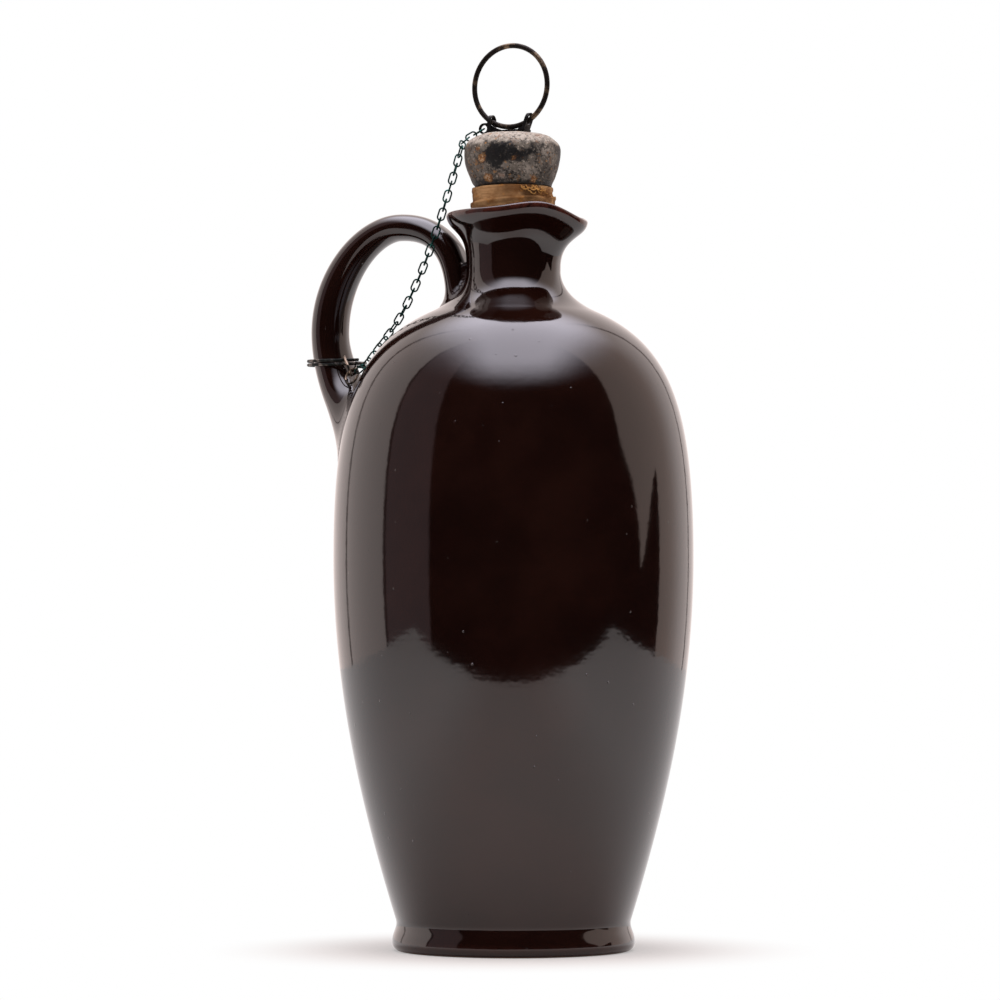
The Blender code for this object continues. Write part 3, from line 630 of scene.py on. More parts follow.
@dataclass(frozen=True)
class CorrodedCap:
    """Old soft-metal cap: dusty on its crown, black where it was handled, with grains and ochre spots."""

    grey: Colour = (0.190, 0.158, 0.132)
    ash: Colour = (0.058, 0.046, 0.038)
    black: Colour = (0.0050, 0.0050, 0.0060)
    film: Colour = (0.330, 0.276, 0.238)
    dust: Colour = (0.500, 0.425, 0.372)
    grain: Colour = (0.44, 0.36, 0.30)
    ochre: Colour = (0.40, 0.170, 0.035)
    rust: Colour = (0.22, 0.085, 0.030)
    chalk: Colour = (0.46, 0.36, 0.27)
    handled: tuple[Stain, ...] = (
        Stain((0.0002, -0.0126, 0.2104), 0.0026, 0.0040, 0.009),
        Stain((0.0042, -0.0120, 0.2114), 0.0020, 0.0038, 0.010),
        Stain((0.0080, -0.0098, 0.2112), 0.0010, 0.0034, 0.010),
        Stain((0.0098, -0.0078, 0.2108), -0.0040, 0.0044, 0.008),
        Stain((0.0060, -0.0092, 0.2042), 0.0004, 0.0026, 0.008),
        Stain((-0.0050, -0.0080, 0.2045), 0.0001, 0.0016, 0.006),
        Stain((-0.0060, 0.0112, 0.2106), 0.0014, 0.0044, 0.010),
        Stain((0.0020, 0.0124, 0.2090), 0.0006, 0.0036, 0.010),
        Stain((0.0126, 0.0020, 0.2116), 0.0004, 0.0036, 0.010),
    )
    spots: tuple[Stain, ...] = (
        Stain((-0.0025, -0.0103, 0.2053), 0.0002, 0.0014, 0.0060),
        Stain((0.0085, -0.0062, 0.2050), 0.0002, 0.0014, 0.0060),
        Stain((-0.0034, -0.0117, 0.2103), 0.0001, 0.0015, 0.0070),
        Stain((-0.0060, -0.0103, 0.2092), 0.0000, 0.0014, 0.0070),
        Stain((-0.0050, -0.0106, 0.2078), -0.0002, 0.0012, 0.0070),
        Stain((-0.0046, -0.0116, 0.2128), -0.0002, 0.0010, 0.0050),
        Stain((0.0050, -0.0118, 0.2095), -0.0003, 0.0009, 0.0050),
        Stain((-0.0040, 0.0108, 0.2090), 0.0003, 0.0014, 0.0026),
    )
    pale: tuple[Stain, ...] = (
        Stain((0.0072, -0.0084, 0.2066), 0.0, 0.0046, 0.006),
        Stain((0.0020, -0.0110, 0.2066), 0.0, 0.0036, 0.006),
        Stain((0.0124, -0.0053, 0.2125), 0.0, 0.0042, 0.006),
    )
    wander: Triple = (330.0, 6.0, 0.68)
    mottle: Patches = Patches(330.0, 5.0, 0.43, 0.57)
    mottle_share: float = 0.62
    fine: Patches = Patches(1000.0, 3.0, 0.45, 0.57)
    fine_share: float = 0.38
    stray: Patches = Patches(240.0, 6.0, 0.58, 0.64)
    stray_tone: float = 0.8
    foot_line: Pair = (0.2040, 0.2048)
    foot_wave: float = 0.004
    foot_tone: float = 0.85
    crown_line: Pair = (0.2138, 0.2152)
    crown_wave: float = 0.003
    film_least: float = 0.35
    black_tone: float = 0.96
    dust_tone: float = 0.85
    handled_hush: float = 0.9
    grains: Patches = Patches(1500.0, 1.0, 0.64, 0.70)
    grain_tone: float = 0.75
    pits: Patches = Patches(1250.0, 2.0, 0.58, 0.63)
    pit_stretch: Place = (1.0, 1.0, 1.3)
    pit_tone: float = 0.7
    tints: Patches = Patches(520.0, 4.0, 0.58, 0.70)
    flecks: Patches = Patches(820.0, 2.0, 0.64, 0.69)
    fleck_tone: float = 0.6
    spot_tone: float = 0.9
    chalk_from: float = 0.7
    chalk_tone: float = 0.6
    specular: float = 0.3
    metallic: float = 0.12
    rough: Pair = (0.66, 0.5)
    pit_depth: float = 1.4
    relief_bump: Pair = (0.5, 0.00012)

    def material(self) -> Material:
        """Lay the cap's stains, dust, grains and spots over its grey.

        Returns:
            The material.
        """
        made, nodes, shader = new_material("corroded_cap", Specular_IOR_Level=self.specular)
        place = nodes.place()
        wander = nodes.cloud(place, *self.wander)
        fine = self.fine.mask(nodes, place)
        mottle = nodes.times(self.mottle.mask(nodes, place), self.mottle_share)
        tone = nodes.plus(mottle, nodes.times(fine, self.fine_share))
        handled, dusty = self._wear(nodes, place, wander)

        colour = nodes.blend(tone, self.ash, self.grey)
        pale = Stain.strongest(self.pale, nodes, place, wander)
        pale = nodes.times(pale, nodes.ramp(fine, 0.0, 1.0, self.film_least, 1.0))
        colour = nodes.blend(pale, colour, self.film)
        colour = nodes.paint(colour, self.black, handled, self.black_tone)
        colour = nodes.paint(colour, nodes.blend(fine, self.film, self.dust), dusty, self.dust_tone)

        calm = nodes.minus(1.0, nodes.times(handled, self.handled_hush))
        grains = self.grains.mask(nodes, place)
        pits = self.pits.mask(nodes, nodes.stretch(place, self.pit_stretch))
        flecked = nodes.times(calm, self.fleck_tone)
        colour = nodes.paint(colour, self.grain, grains, nodes.times(calm, self.grain_tone))
        colour = nodes.paint(colour, self.black, pits, self.pit_tone)
        colour = nodes.paint(colour, self.rust, self.tints.mask(nodes, place), flecked)
        colour = nodes.paint(colour, self.ochre, self.flecks.mask(nodes, place), flecked)

        spots = Stain.strongest(self.spots, nodes, place, wander)
        colour = nodes.paint(colour, nodes.blend(fine, self.rust, self.ochre), spots, self.spot_tone)
        chalky = nodes.times(nodes.ramp(spots, self.chalk_from, 1.0), nodes.ramp(fine, self.chalk_from, 1.0))
        colour = nodes.paint(colour, self.chalk, chalky, self.chalk_tone)

        shine = nodes.times(nodes.minus(1.0, handled), self.metallic)
        rough = nodes.ramp(handled, 0.0, 1.0, *self.rough)
        relief = nodes.minus(nodes.plus(tone, grains), nodes.times(pits, self.pit_depth))
        normal = nodes.bump(relief, *self.relief_bump)
        nodes.fill(shader, Base_Color=colour, Metallic=shine, Roughness=rough, Normal=normal)
        return made

    def _wear(self, nodes: Nodes, place: Any, wander: Any) -> tuple[Socket, Socket]:
        """Return where the cap is black from handling and where dust lies on its crown.

        Args:
            nodes: The material's nodes.
            place: The coordinates.
            wander: A noise about one half that frays the edges.

        Returns:
            The two masks.
        """
        height = nodes.axis(place, "Z")
        swing = nodes.minus(wander, 0.5)
        handled = Stain.strongest(self.handled, nodes, place, wander)
        stray = nodes.times(self.stray.mask(nodes, place), self.stray_tone)
        handled = nodes.math("MAXIMUM", handled, stray)
        foot_line = nodes.plus(height, nodes.times(swing, self.foot_wave))
        handled = nodes.math("MAXIMUM", handled, nodes.ramp(foot_line, *self.foot_line, self.foot_tone, 0.0))
        crown_line = nodes.plus(height, nodes.times(swing, self.crown_wave))
        dusty = nodes.ramp(crown_line, *self.crown_line)
        return nodes.times(handled, nodes.minus(1.0, dusty)), dusty


@dataclass(frozen=True)
class WovenTape:
    """Worn cotton tape: crossed threads with painted shade in their gaps, handling stains that also stand for
    the cap's painted shadow, and browned edges.
    """

    name: str = "woven_tape"
    width: float = 0.0125
    thread: float = 0.00042
    tan: Colour = (0.56, 0.300, 0.138)
    brown: Colour = (0.230, 0.094, 0.032)
    # The soil colour serves the handling stains and the browned edges, and it is also painted shade: the
    # weave's gaps and the cap's shadow.
    soil_and_shade: Colour = (0.085, 0.034, 0.012)
    rust: Colour = (0.52, 0.210, 0.050)
    slub: Pair = (1.0, 3.0)
    slub_stretch: Place = (260.0, 1900.0, 1.0)
    slub_span: Pair = (0.45, 0.7)
    slub_tone: float = 0.5
    slub_height: float = 0.8
    fading: Patches = Patches(150.0, 5.0, 0.36, 0.62)
    fading_stretch: Place = (1.0, 1.0, 1.8)
    grime_and_shadow_tone: float = 0.85
    wander: Triple = (300.0, 5.0, 0.6)
    # The two handled stains sit at the front just under the cap: partly real grime, partly the cap's painted
    # shadow.
    handled: tuple[Stain, ...] = (
        Stain((0.0028, -0.0114, 0.2020), -0.0010, 0.0056, 0.006),
        Stain((0.0088, -0.0076, 0.2026), 0.0020, 0.0044, 0.004),
    )
    flushes: Patches = Patches(380.0, 3.0, 0.58, 0.70)
    flush_tone: float = 0.7
    rim_wave: float = 0.05
    rim_span: Pair = (0.49, 0.54)
    rim_tone: float = 0.35
    # Painted shade in the weave's gaps between threads.
    gap_shade_span: Pair = (0.0, 0.5)
    gap_shade_tone: float = 0.28
    rough: float = 0.94
    specular: float = 0.2
    relief_bump: Pair = (0.6, 0.00010)

    def material(self) -> Material:
        """Weave the tape's threads with painted shade between them, and stain them, partly as the cap's
        painted shadow.

        Returns:
            The material.
        """
        made, nodes, shader = new_material(self.name, Roughness=self.rough, Specular_IOR_Level=self.specular)
        place = nodes.place()
        flat = nodes.add("ShaderNodeUVMap", uv_map="flat").outputs[0]
        warp, weft = (
            nodes.math("SINE", nodes.times(nodes.axis(flat, axis), FULL_TURN / self.thread)) for axis in "YX"
        )
        weave = nodes.times(nodes.plus(nodes.times(warp, weft), 1.0), 0.5)
        slub = nodes.cloud(nodes.stretch(flat, self.slub_stretch), *self.slub)
        fading = self.fading.mask(nodes, nodes.stretch(place, self.fading_stretch))
        colour = nodes.blend(fading, self.tan, self.brown)
        colour = nodes.paint(colour, self.brown, nodes.ramp(slub, *self.slub_span), self.slub_tone)
        wander = nodes.cloud(place, *self.wander)
        # Handling grime and the cap's painted shadow on the tape's top, in the soil colour.
        for stain in self.handled:
            colour = nodes.paint(colour, self.soil_and_shade, stain.mask(nodes, place, wander), self.grime_and_shadow_tone)
        colour = nodes.paint(colour, self.rust, self.flushes.mask(nodes, place), self.flush_tone)
        across = nodes.math("DIVIDE", nodes.axis(flat, "Y"), self.width)
        rim = nodes.math("ABSOLUTE", nodes.minus(across, 0.5))
        rim = nodes.plus(rim, nodes.times(slub, self.rim_wave))
        rim = nodes.ramp(rim, *self.rim_span, 0.0, self.rim_tone)
        colour = nodes.blend(rim, colour, self.soil_and_shade)
        # Painted shade: the gaps between the crossed threads are darkened towards the soil colour.
        colour = nodes.blend(nodes.ramp(weave, *self.gap_shade_span, self.gap_shade_tone, 0.0), colour, self.soil_and_shade)
        relief = nodes.plus(weave, nodes.times(slub, self.slub_height))
        nodes.fill(shader, Base_Color=colour, Normal=nodes.bump(relief, *self.relief_bump))
        return made


@dataclass(frozen=True)
class BarkCork:
    """Pressed bark cork with dark pores."""

    light: Colour = (0.42, 0.26, 0.14)
    dark: Colour = (0.22, 0.115, 0.055)
    pore: Colour = (0.055, 0.027, 0.013)
    grain: Patches = Patches(520.0, 4.0, 0.35, 0.7)
    pores: Specks = Specks(620.0, 0.34, 0.3)
    pore_stretch: Place = (1.0, 1.0, 0.4)
    rough: float = 0.88
    relief_bump: Pair = (0.5, 0.00015)

    def material(self) -> Material:
        """Grain the cork and set its pores.

        Returns:
            The material.
        """
        made, nodes, shader = new_material("bark_cork", Roughness=self.rough)
        place = nodes.place()
        grain = self.grain.mask(nodes, place)
        pores = self.pores.mask(nodes, nodes.stretch(place, self.pore_stretch))
        colour = nodes.blend(pores, nodes.blend(grain, self.light, self.dark), self.pore)
        normal = nodes.bump(nodes.minus(grain, pores), *self.relief_bump)
        nodes.fill(shader, Base_Color=colour, Normal=normal)
        return made


@dataclass(frozen=True)
class PotShape:
    """The pot's outline: its foot, belly, shoulder, neck and pulled lip, outside and inside.

    A pull is how far the handles at the two ends of a curve reach, as a share of its rise.
    """

    foot_radius: float = 0.0323
    foot_round: float = 0.0022
    foot_height: float = 0.0083
    foot_turn: float = math.radians(12.0)
    foot_points: int = 8
    foot_pull: Pair = (0.45, 0.35)
    foot_steps: int = 10
    waist_radius: float = 0.0313
    waist_flare: float = 0.31
    belly_radius: float = 0.0480
    belly_rise: float = 0.0967
    belly_pull: Pair = (0.39, 0.31)
    shoulder_rise: float = 0.0647
    shoulder_angle: float = math.radians(24.0)
    shoulder_pull: Pair = (0.65, 0.31)
    shoulder_ease: float = 0.00014
    collar_radius: float = 0.0225
    collar_rise: float = 0.0113
    collar_pull: Pair = (0.53, 0.44)
    neck_radius: float = 0.0126
    neck_rise: float = 0.0139
    lip_flare: float = 0.0054
    lip_crest: float = 0.0146
    lip_bead: float = 0.0008
    lip_turn: Pair = (0.0037, 0.0114)
    lip_slope: float = math.radians(45.0)
    flare_foot: float = 0.0015
    flare_rise: float = 0.0075
    flare_reach: float = 0.0035
    flare_steps: int = 24
    roll_reach: float = 0.0012
    roll_drop: float = 0.0010
    roll_steps: int = 14
    bead_turn: float = math.radians(15.0)
    bead_points: int = 9
    funnel_pull: Pair = (0.4, 0.5)
    wall: float = 0.0045
    base_thickness: float = 0.0085
    neck_wall: float = 0.0034
    throat_length: float = 0.0075
    throat_taper: float = 0.0007
    spout_reach: float = 0.0026
    spout_drop: float = 0.0026
    spout_spread: float = math.radians(30.0)
    swell_rise: float = 0.0018
    swell_reach: float = 0.0006
    swell_angle: float = math.radians(-41.0)
    swell_spread: float = math.radians(31.0)
    outside_steps: tuple[int, int, int] = (44, 44, 22)
    inside_steps: tuple[int, int, int] = (16, 16, 8)

    @property
    def belly(self) -> float:
        """Return the height of the widest place."""
        return self.foot_height + self.belly_rise

    @property
    def collar(self) -> float:
        """Return the height where the shoulder turns up into the neck."""
        return self.belly + self.shoulder_rise

    @property
    def neck(self) -> float:
        """Return the height of the neck's narrowest place."""
        return self.collar + self.collar_rise

    @property
    def throat(self) -> float:
        """Return the height of the top of the throat."""
        return self.neck + self.throat_length

    @property
    def lip(self) -> float:
        """Return the height of the lip's outer edge."""
        return self.neck + self.neck_rise

    @property
    def lip_radius(self) -> float:
        """Return the radius of the lip's outer edge."""
        return self.neck_radius + self.lip_flare

    @property
    def bore(self) -> float:
        """Return the radius of the neck's bore."""
        return self.neck_radius - self.neck_wall

    @property
    def mouth(self) -> float:
        """Return the bore's radius at the top of the throat."""
        return self.bore + self.throat_taper

    def throat_radius(self, height: float) -> float:
        """Return the bore's radius at a height in the throat, or on its line above it."""
        return self.bore + self.throat_taper * (height - self.neck) / self.throat_length

    def wall_spans(self, steps: tuple[int, int, int]) -> tuple[Outline, Outline, Outline]:
        """Return the outline of the wall from the waist up to the neck.

        Args:
            steps: How many points the lower wall, the shoulder and the collar get.

        Returns:
            The three spans.
        """
        belly = (self.belly_radius, self.belly)
        collar = (self.collar_radius, self.collar)
        slope = (math.cos(self.shoulder_angle), math.sin(self.shoulder_angle))
        flare = self.belly_pull[0] * self.belly_rise
        lower = bezier(
            (self.waist_radius, self.foot_height),
            (self.waist_radius + self.waist_flare * flare, self.foot_height + flare),
            (self.belly_radius, self.belly - self.belly_pull[1] * self.belly_rise),
            belly,
            steps[0],
        )
        drop = self.shoulder_pull[1] * self.shoulder_rise
        shoulder = bezier(
            belly,
            (self.belly_radius, self.belly + self.shoulder_pull[0] * self.shoulder_rise),
            (self.collar_radius + slope[0] * drop, self.collar - slope[1] * drop),
            collar,
            steps[1],
        )
        lift = self.collar_pull[0] * self.collar_rise
        throat = bezier(
            collar,
            (self.collar_radius - slope[0] * lift, self.collar + slope[1] * lift),
            (self.neck_radius, self.neck - self.collar_pull[1] * self.collar_rise),
            (self.neck_radius, self.neck),
            steps[2],
        )
        return lower, shoulder, throat

    def foot(self) -> Outline:
        """Draw the rounded edge of the foot up to the waist.

        Returns:
            The outline.
        """
        centre = self.foot_radius - self.foot_round
        turns = [self.foot_turn * step - math.pi / 2 for step in range(self.foot_points)]
        edge = [(math.cos(turn), 1 + math.sin(turn)) for turn in turns]
        points = [(centre + self.foot_round * out, self.foot_round * up) for out, up in edge]
        rise = self.foot_height - self.foot_round
        drop = self.foot_pull[1] * rise
        points += bezier(
            (self.foot_radius, self.foot_round),
            (self.foot_radius, self.foot_round + self.foot_pull[0] * rise),
            (self.waist_radius - self.waist_flare * drop, self.foot_height - drop),
            (self.waist_radius, self.foot_height),
            self.foot_steps,
        )
        return points

    def outside(self) -> Outline:
        """Draw the outside from the edge of the base up to the edge of the lip.

        Returns:
            The outline.
        """
        lower, shoulder, collar = self.wall_spans(self.outside_steps)
        shares = [step / (len(shoulder) - 1) for step in range(len(shoulder))]
        shoulder = offset(shoulder, [self.shoulder_ease * math.sin(math.pi * share**2) for share in shares])
        edge = (self.lip_radius, self.neck + self.lip_crest)
        turn = Vector((self.neck_radius + self.lip_turn[0], self.neck + self.lip_turn[1]))
        slope = Vector((math.cos(self.lip_slope), math.sin(self.lip_slope)))
        flare = bezier(
            (self.neck_radius, self.neck + self.flare_foot),
            (self.neck_radius, self.neck + self.flare_rise),
            turn - slope * self.flare_reach,
            turn,
            self.flare_steps,
        )
        roll = bezier(
            turn,
            turn + slope * self.roll_reach,
            (edge[0], edge[1] - self.roll_drop),
            edge,
            self.roll_steps,
        )
        return self.foot() + lower + shoulder + collar + flare + roll + [edge]

    def rim(self) -> Outline:
        """Draw the rounded edge of the lip and the funnel inside it, down to the throat.

        Returns:
            The outline.
        """
        centre = Vector((self.lip_radius - self.lip_bead, self.neck + self.lip_crest))
        turns = [self.bead_turn * step for step in range(1, self.bead_points + 2)]
        bead = [centre + Vector((math.cos(turn), math.sin(turn))) * self.lip_bead for turn in turns]
        inward = Vector((-math.sin(turns[-1]), math.cos(turns[-1])))
        fall = self.lip - self.throat
        funnel = bezier(
            bead[-1],
            bead[-1] + inward * self.funnel_pull[0] * fall,
            (self.mouth, self.throat + self.funnel_pull[1] * fall),
            (self.mouth, self.throat),
            self.roll_steps,
        )
        return [tuple(point) for point in bead[:-1]] + funnel

    def inside(self) -> Outline:
        """Draw the inside from the throat down to the middle of its floor.

        Returns:
            The outline.
        """
        lower, shoulder, collar = self.wall_spans(self.inside_steps)
        collar_walls = [mix(self.wall, self.neck_wall, step / len(collar)) for step in range(len(collar))]
        walls = [self.wall] * len(lower + shoulder) + collar_walls
        inside = offset(lower + shoulder + collar, walls)
        inside = [point for point in inside if point[1] > self.base_thickness + self.foot_round]
        floor = [(inside[0][0] - self.foot_round, self.base_thickness), (0.0, self.base_thickness)]
        return [(self.mouth, self.throat), (self.bore, self.neck)] + inside[::-1] + floor

    def flow(self, point: Vector) -> Vector:
        """Return where a point of the plain round lip lies once the spout is pulled from it.

        Args:
            point: A point of the turned pot.

        Returns:
            The moved point.
        """
        turn = math.atan2(point.y, point.x)
        share = smooth_step((point.z - self.neck) / self.neck_rise)
        pull = math.exp(-((turn / self.spout_spread) ** 2)) * share
        swell = math.exp(-(((turn - self.swell_angle) / self.swell_spread) ** 2)) * share
        reach = self.spout_reach * pull + self.swell_reach * swell
        out = Vector((math.cos(turn), math.sin(turn), 0.0)) * reach
        return point + out + UP * (self.swell_rise * swell - self.spout_drop * pull)


class Wall:
    """The outside of the pot as a field of distances."""

    SHORTEST_SQUARE = 1e-18
    PROBE = 0.0002

    def __init__(self, shape: PotShape) -> None:
        """Keep the outline as spans between neighbouring points.

        Args:
            shape: The pot's outline.
        """
        points = np.array(shape.outside())
        self.start = points[:-1]
        self.span = points[1:] - points[:-1]
        self.square = np.maximum((self.span**2).sum(1), self.SHORTEST_SQUARE)

    def distance(self, point: Vector) -> float:
        """Return how far a point lies outside the pot, or less than nothing inside it.

        Args:
            point: The point.

        Returns:
            The distance in metres.
        """
        place = np.array((math.hypot(point.x, point.y), point.z))
        share = np.clip(((place - self.start) * self.span).sum(1) / self.square, 0.0, 1.0)
        away = place - (self.start + self.span * share[:, None])
        reach = np.hypot(away[:, 0], away[:, 1])
        near = int(reach.argmin())
        side = away[near, 0] * self.span[near, 1] - away[near, 1] * self.span[near, 0]
        return float(math.copysign(reach[near], side))

    def normal(self, point: Vector) -> Vector:
        """Return the direction straight out of the pot at a point.

        Args:
            point: The point.

        Returns:
            The direction.
        """
        outward = Vector((point.x, point.y, 0.0)).normalized()
        steps = [axis * self.PROBE for axis in (outward, UP)]
        aside, rise = (self.distance(point + step) - self.distance(point - step) for step in steps)
        return (outward * aside + UP * rise).normalized()


@dataclass
class Pot:
    """The glazed pot and its strap handle.

    A section holds the strap's thickness and width. A pull holds how far a curve's handles reach from its two
    knots, as shares of the way across and the way up between them.
    """

    shape: PotShape = PotShape()
    steps: int = 160
    thin_reach: float = 0.0009
    thin_drop: float = 0.0007
    thin_foot: float = 0.25
    bare_height: float = 0.0004
    body_steps: tuple[int, int, int] = (24, 24, 12)
    handle_standoff: float = 0.0066
    handle_side_rise: float = 0.061
    handle_top_rise: float = 0.0129
    handle_top_reach: float = 0.0335
    upper_root_drop: float = 0.0105
    lower_root_rise: float = 0.0255
    lower_root_sink: float = 0.0078
    root_section: Pair = (0.0066, 0.0112)
    top_section: Pair = (0.0072, 0.0110)
    side_section: Pair = (0.0096, 0.0128)
    foot_section: Pair = (0.0120, 0.0230)
    neck_pull: tuple[Pair, Pair] = ((-0.06, 0.74), (0.60, 0.0))
    top_pull: tuple[Pair, Pair] = ((0.46, 0.0), (0.0, 0.56))
    side_pull: tuple[Pair, Pair] = ((0.0, 0.3), (0.55, 0.38))
    root_power: float = 3.2
    oval_power: float = 2.0
    square_reach: float = 0.5
    handle_sides: int = 72
    span_steps: int = 48
    root_steps: int = 12
    root_run: float = 0.0085
    foot_run: float = 0.0045
    foot_taper: float = 0.3
    sink: float = 0.0009
    sink_reach: float = 0.0005
    fillet: float = 0.0046
    neck_fillet: float = 0.0016
    neck_reach: float = 0.6
    lower_fillet: float = 0.0100
    lower_from: float = 0.5
    lower_over: float = 1 / 3
    flare_reach: float = 0.016
    halvings: int = 18

    def build(self, look: Material) -> None:
        """Model the pot and its handle in one glaze."""
        self.build_pot(look)
        self.build_handle(look)

    def build_pot(self, look: Material) -> None:
        """Turn the hollow pot, pull its spout, and mark where its glaze is thin or missing.

        Args:
            look: The glaze.
        """
        shape = self.shape
        bm = turned([(0.0, 0.0)] + shape.outside() + shape.rim() + shape.inside(), self.steps)
        thin = bm.verts.layers.float.new("thin_glaze")
        bare = bm.verts.layers.float.new("bare_clay")
        rim_height = max(height for _, height in shape.rim()) - self.thin_drop
        for vert in bm.verts:
            radius = math.hypot(vert.co.x, vert.co.y)
            crest = math.hypot(radius - shape.lip_radius, vert.co.z - rim_height)
            foot = abs(vert.co.z - shape.foot_round) if radius > shape.waist_radius else 1.0
            at_crest, at_foot = (math.exp(-((reach / self.thin_reach) ** 2)) for reach in (crest, foot))
            vert[thin] = max(at_crest, self.thin_foot * at_foot)
            vert[bare] = float(vert.co.z < self.bare_height)
            vert.co = shape.flow(vert.co)
        add_piece("glazed_pot", bm, look, Body.FLASK, ["flask_body"])

    def body_radius(self, height: float) -> float:
        """Return the outside radius at a height between waist and neck.

        Args:
            height: The height.

        Returns:
            The radius in metres.
        """
        points = [point for span in self.shape.wall_spans(self.body_steps) for point in span]
        for (low_radius, low), (high_radius, high) in zip(points, points[1:]):
            if low <= height <= high:
                return mix(low_radius, high_radius, (height - low) / (high - low))
        return self.shape.neck_radius

    def handle_knots(self) -> list[Vector]:
        """Set the handle's knots on the neck, at its top, at its side and in the belly.

        Returns:
            The knots, each as (x, height).
        """
        shape = self.shape
        root_height = shape.belly + self.lower_root_rise
        knots = (
            (-shape.neck_radius - self.root_section[0] / 2, shape.neck - self.upper_root_drop),
            (-self.handle_top_reach, shape.neck + self.handle_top_rise),
            (-shape.belly_radius - self.handle_standoff, shape.belly + self.handle_side_rise),
            (self.lower_root_sink - self.body_radius(root_height), root_height),
        )
        return [Vector(knot) for knot in knots]

    def handle_stations(self) -> list[Station]:
        """Set the handle's stations from neck to belly.

        Returns:
            Each station's point, thickness and width.
        """
        knots = self.handle_knots()
        sections = (self.root_section, self.top_section, self.side_section, self.foot_section)
        stations = []
        for step in range(self.root_steps, 0, -1):
            sunk = knots[0].y - self.root_run * step / self.root_steps
            stations.append((Vector((knots[0].x, 0.0, sunk)), *self.root_section))
        for index, (leave, enter) in enumerate((self.neck_pull, self.top_pull, self.side_pull)):
            start, end = knots[index : index + 2]
            near, far = sections[index : index + 2]
            first = start + (end - start) * Vector(leave)
            second = end - (end - start) * Vector(enter)
            for step, (x, z) in enumerate(bezier(start, first, second, end, self.span_steps)):
                share = smooth_step(step / self.span_steps)
                section = (mix(thin, thick, share) for thin, thick in zip(near, far))
                stations.append((Vector((x, 0.0, z)), *section))
        inward = (end - second).normalized() * self.foot_run
        for step in range(self.root_steps + 1):
            share = step / self.root_steps
            sunk = end + inward * share
            taper = mix(1.0, self.foot_taper, share)
            stations.append((Vector((sunk.x, 0.0, sunk.y)), *(size * taper for size in self.foot_section)))
        return stations

    def section_frames(self, stations: Sequence[Station]) -> list[Matrix]:
        """Return the place of the unit circle at each of the handle's stations.

        Args:
            stations: The stations.

        Returns:
            The places, with the thickness along X, the width along Y and the handle's way along Z.
        """
        frames = []
        for index, (point, thickness, width) in enumerate(stations):
            before = stations[max(index - 1, 0)][0]
            after = stations[min(index + 1, len(stations) - 1)][0]
            along = (after - before).normalized()
            across = along.cross(Vector((0.0, 1.0, 0.0)))
            section = Matrix((across * thickness / 2, Vector((0.0, width / 2, 0.0)), along))
            frames.append(Matrix.Translation(point) @ section.transposed().to_4x4())
        return frames

    def blended(self, wall: Wall, centre: Vector, point: Vector, fillet: float) -> Vector:
        """Return a point of the handle moved out along its section to the fillet against the pot.

        Args:
            wall: The pot's outside.
            centre: The middle of the handle's section.
            point: A point of the section's edge.
            fillet: How far the fillet reaches.

        Returns:
            The point on the smooth join of handle and pot.
        """
        way = point - centre
        start = way.length
        way.normalize()

        def join(reach: float) -> float:
            """Return the distance from the joined surfaces at a place on the way out.

            Args:
                reach: How far the place lies from the section's middle.

            Returns:
                The distance, less than nothing inside them.
            """
            handle = reach - start
            body = wall.distance(centre + way * reach)
            overlap = max(fillet - abs(handle - body), 0.0) / fillet
            return min(handle, body) - overlap**2 * fillet / 4

        low, high = start, start + self.flare_reach
        if join(low) > -MERGE_DISTANCE or join(high) < 0.0:
            return point
        for _ in range(self.halvings):
            middle = (low + high) / 2
            low, high = (middle, high) if join(middle) < 0.0 else (low, middle)
        joined = centre + way * high
        proud = wall.distance(joined)
        if proud > self.sink_reach:
            return joined
        return joined - wall.normal(joined) * self.sink * (1.0 - smooth_step(proud / self.sink_reach))

    def build_handle(self, look: Material) -> None:
        """Skin the strap handle and draw its two ends out into the pot's wall.

        Args:
            look: The glaze.
        """
        stations = self.handle_stations()
        frames = self.section_frames(stations)
        bm = bmesh.new()
        rings = skinned(bm, frames, self.handle_sides)
        wall = Wall(self.shape)
        for index, (ring, place, (centre, _, _)) in enumerate(zip(rings, frames, stations)):
            lower = smooth_step((index / len(rings) - self.lower_from) / self.lower_over)
            rounded = smooth_step((index - self.root_steps) / self.span_steps)
            squared = mix(self.root_power, self.oval_power, rounded)
            back = place.inverted()
            for vert in ring:
                inward = (vert.co - centre).normalized().x
                power = mix(self.oval_power, squared, smooth_step(inward / self.square_reach))
                flat = back @ vert.co
                flat *= (abs(flat.x) ** power + abs(flat.y) ** power) ** (-1 / power)
                upper = mix(self.fillet, self.neck_fillet, smooth_step(inward / self.neck_reach))
                fillet = mix(upper, self.lower_fillet, lower)
                vert.co = self.blended(wall, centre, place @ flat, fillet)
        for mark in ("thin_glaze", "bare_clay"):
            bm.verts.layers.float.new(mark)
        bmesh.ops.recalc_face_normals(bm, faces=bm.faces)
        add_piece("strap_handle", bm, look, Body.FLASK, ["handle"])


